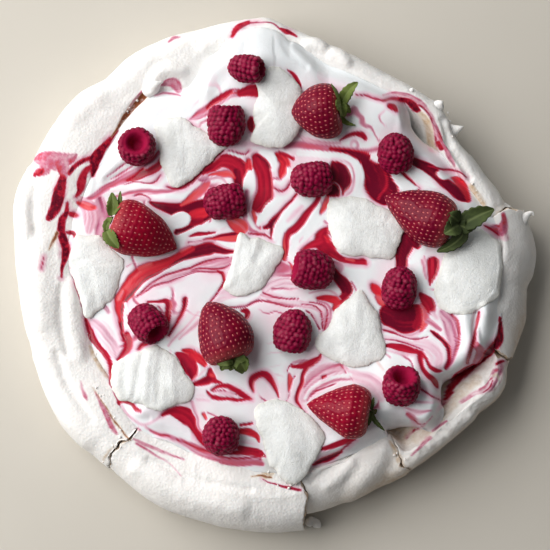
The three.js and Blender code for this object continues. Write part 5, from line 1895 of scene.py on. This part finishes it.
def floor_finish():
    """Plain pale studio floor with a faint unevenness."""
    finish = Finish("studio floor")
    soft = finish.grain(60, 2)
    colour = finish.mix(soft, (0.57, 0.53, 0.46), (0.60, 0.56, 0.49))
    return finish.set(Base_Color=colour, Roughness=0.7)


# ---------------------------------------------------------------- what a user may change


def colour_property(name, description, red, green, blue):
    """A colour a user may change, its default given as screen values."""
    return FloatVectorProperty(
        name=name, description=description, subtype="COLOR", size=3, min=0, max=1,
        default=srgb(red, green, blue),
    )


class PavlovaColours(bpy.types.PropertyGroup):
    meringue: colour_property("Meringue", "Baked meringue where it is clean", 246, 243, 239)
    # Tan is also the painted shade and bounce light low on the rim's right outside.
    tan: colour_property("Tan", "Meringue where it is broken", 206, 176, 138)
    brown: colour_property("Brown", "Meringue where it is browned", 140, 84, 54)
    cream: colour_property("Cream", "Whipped cream", 243, 246, 247)
    blush: colour_property("Blush", "Cream with a trace of sauce", 240, 206, 219)
    mauve: colour_property("Mauve", "Thin sauce worked into cream", 188, 106, 138)
    rose: colour_property("Rose", "Thin warm sauce", 214, 122, 148)
    coral: colour_property("Coral", "Bright thin sauce", 226, 84, 88)
    scarlet: colour_property("Scarlet", "Thick bright sauce", 218, 40, 58)
    line: colour_property("Line", "Fine lines of sauce", 152, 32, 66)
    red: colour_property("Red", "Thick sauce", 174, 10, 50)
    deep: colour_property("Deep", "Deepest sauce", 108, 6, 36)
    raspberry: colour_property("Raspberry", "Crowns of the drupelets", 136, 0, 52)
    # The painted shade between the drupelets; the finish darkens it further where they meet.
    raspberry_crevice_shade: colour_property("Raspberry, dark", "Between the drupelets", 90, 0, 32)
    strawberry: colour_property("Strawberry", "Strawberry skin", 156, 0, 36)
    strawberry_dark: colour_property("Strawberry, dark", "Ripest strawberry skin", 104, 0, 34)
    seed: colour_property("Seed", "Strawberry seeds", 216, 120, 116)
    leaf: colour_property("Leaf", "Strawberry leaves", 104, 122, 52)
    leaf_dark: colour_property("Leaf, dark", "Darkest strawberry leaves", 58, 68, 40)
    petal: colour_property("Petal", "Sugared petals", 246, 247, 244)
    petal_edge: colour_property("Petal edge", "Rim of the petals", 222, 216, 196)


class PavlovaSizes(bpy.types.PropertyGroup):
    drupelet: FloatProperty(
        name="Drupelet", description="Width of a raspberry's drupelets", unit="LENGTH",
        default=0.0030, min=0.002, max=0.006,
    )
    seed_spacing: FloatProperty(
        name="Seed spacing", description="Distance between a strawberry's seeds", unit="LENGTH",
        default=0.0034, min=0.002, max=0.008,
    )
    petal_thickness: FloatProperty(
        name="Petal thickness", description="Thickness of a sugared petal", unit="LENGTH",
        default=0.0010, min=0.0004, max=0.0016,
    )
    crumbs: IntProperty(name="Crumbs", description="Crumbs along the breaks", default=120, min=0, max=400)


class Pavlova(bpy.types.PropertyGroup):
    colours: PointerProperty(type=PavlovaColours)
    sizes: PointerProperty(type=PavlovaSizes)


# ---------------------------------------------------------------- operators


class PAVLOVA_OT_meringue(bpy.types.Operator):
    """Makes the meringue shell, the four broken rim pieces and the crumbs"""

    bl_idname = "pavlova.meringue"
    bl_label = "Meringue"

    def execute(self, context):
        settings = context.scene.pavlova
        material = meringue_finish(settings.colours)
        shell_piece(material)
        for number, (name, edge) in enumerate(BROKEN):
            broken_piece(name, number, edge, material)
        crumbs_piece(settings.sizes.crumbs, material)
        return {"FINISHED"}


class PAVLOVA_OT_cream(bpy.types.Operator):
    """Makes the whipped cream with the sauce swirled into it"""

    bl_idname = "pavlova.cream"
    bl_label = "Cream"

    def execute(self, context):
        cream_piece(cream_finish(context.scene.pavlova.colours))
        return {"FINISHED"}


class PAVLOVA_OT_raspberries(bpy.types.Operator):
    """Makes the twelve raspberries"""

    bl_idname = "pavlova.raspberries"
    bl_label = "Raspberries"

    def execute(self, context):
        settings = context.scene.pavlova
        material = raspberry_finish(settings.colours)
        for number, row in enumerate(RASPBERRIES):
            raspberry_piece(number, row, settings.sizes.drupelet * 1000, material)
        return {"FINISHED"}


class PAVLOVA_OT_strawberries(bpy.types.Operator):
    """Makes the five strawberries and their leaves"""

    bl_idname = "pavlova.strawberries"
    bl_label = "Strawberries"

    def execute(self, context):
        settings = context.scene.pavlova
        flesh = strawberry_finish(settings.colours)
        leaf = leaf_finish(settings.colours)
        for number, row in enumerate(STRAWBERRIES):
            strawberry_piece(number, row, settings.sizes.seed_spacing * 1000, flesh)
            calyx_piece(number, row, leaf)
        return {"FINISHED"}


class PAVLOVA_OT_petals(bpy.types.Operator):
    """Makes the nine sugared petals"""

    bl_idname = "pavlova.petals"
    bl_label = "Petals"

    def execute(self, context):
        settings = context.scene.pavlova
        material = petal_finish(settings.colours)
        for number, row in enumerate(PETALS):
            petal_piece(number, row, settings.sizes.petal_thickness * 1000, material)
        return {"FINISHED"}


FLOOR_RADIUS = 2500  # mm
SENSOR = 36  # mm


def area_light(name, place, size, energy, colour=(1, 1, 1)):
    """A square soft light at place, in metres, turned towards the middle of the cake."""
    light = bpy.data.lights.new(name, "AREA")
    light.size = size
    light.energy = energy
    light.color = colour
    lamp = bpy.data.objects.new(name, light)
    lamp.location = place
    lamp.rotation_euler = (Vector((0, 0, 0.03)) - Vector(place)).to_track_quat("-Z", "Y").to_euler()
    bpy.context.scene.collection.objects.link(lamp)


class PAVLOVA_OT_stage(bpy.types.Operator):
    """Makes the floor, the lights and the camera"""

    bl_idname = "pavlova.stage"
    bl_label = "Stage"

    def execute(self, context):
        scene = context.scene
        rings = turned_profile(((FLOOR_RADIUS, -12), (FLOOR_RADIUS, -0.05)), 64)
        floor = add_piece("floor", *skin(rings, (0, 0, -12), (0, 0, -0.05)), floor_finish(), smooth=False)
        camera = bpy.data.cameras.new("camera")
        camera.sensor_width = SENSOR
        camera.lens = SENSOR * VIEW_FOCAL / VIEW_SIDE
        camera.clip_start, camera.clip_end = 0.05, 20
        viewer = bpy.data.objects.new("camera", camera)
        viewer.location = (VIEW_POINT + SHIFT) / 1000
        viewer.rotation_euler = Vector(VIEW_AHEAD).to_track_quat("-Z", "Y").to_euler()
        scene.collection.objects.link(viewer)
        scene.camera = viewer
        area_light("window", (-1.72, 0.62, 1.5), 2.7, 103.0, (1.0, 0.995, 0.99))
        area_light("back window", (-0.7, 1.9, 1.4), 1.2, 7.0, (0.95, 0.97, 1.0))
        world = bpy.data.worlds.new("studio")
        world.use_nodes = True
        sky = world.node_tree.nodes["Background"].inputs
        sky["Color"].default_value = (0.93, 0.96, 1.0, 1)
        sky["Strength"].default_value = 0.12
        scene.world = world
        scene.view_settings.view_transform = "Standard"
        return {"FINISHED"}


class PAVLOVA_PT_pieces(bpy.types.Panel):
    """Lists what a user may change and the pieces to make"""

    bl_label = "Pavlova"
    bl_space_type = "VIEW_3D"
    bl_region_type = "UI"
    bl_category = "Pavlova"

    def draw(self, context):
        settings = context.scene.pavlova
        for group in (settings.colours, settings.sizes):
            for name in group.__annotations__:
                self.layout.prop(group, name)
        for operator in OPERATORS:
            self.layout.operator(operator.bl_idname)


OPERATORS = (
    PAVLOVA_OT_meringue, PAVLOVA_OT_cream, PAVLOVA_OT_raspberries, PAVLOVA_OT_strawberries,
    PAVLOVA_OT_petals, PAVLOVA_OT_stage,
)
CLASSES = (PavlovaColours, PavlovaSizes, Pavlova, *OPERATORS, PAVLOVA_PT_pieces)


def register():
    for each in CLASSES:
        bpy.utils.register_class(each)
    bpy.types.Scene.pavlova = PointerProperty(type=Pavlova)


def unregister():
    del bpy.types.Scene.pavlova
    for each in reversed(CLASSES):
        bpy.utils.unregister_class(each)


def main():
    register()
    bpy.ops.pavlova.stage()
    bpy.ops.pavlova.meringue()
    bpy.ops.pavlova.cream()
    bpy.ops.pavlova.raspberries()
    bpy.ops.pavlova.strawberries()
    bpy.ops.pavlova.petals()


if __name__ == "__main__":
    main()
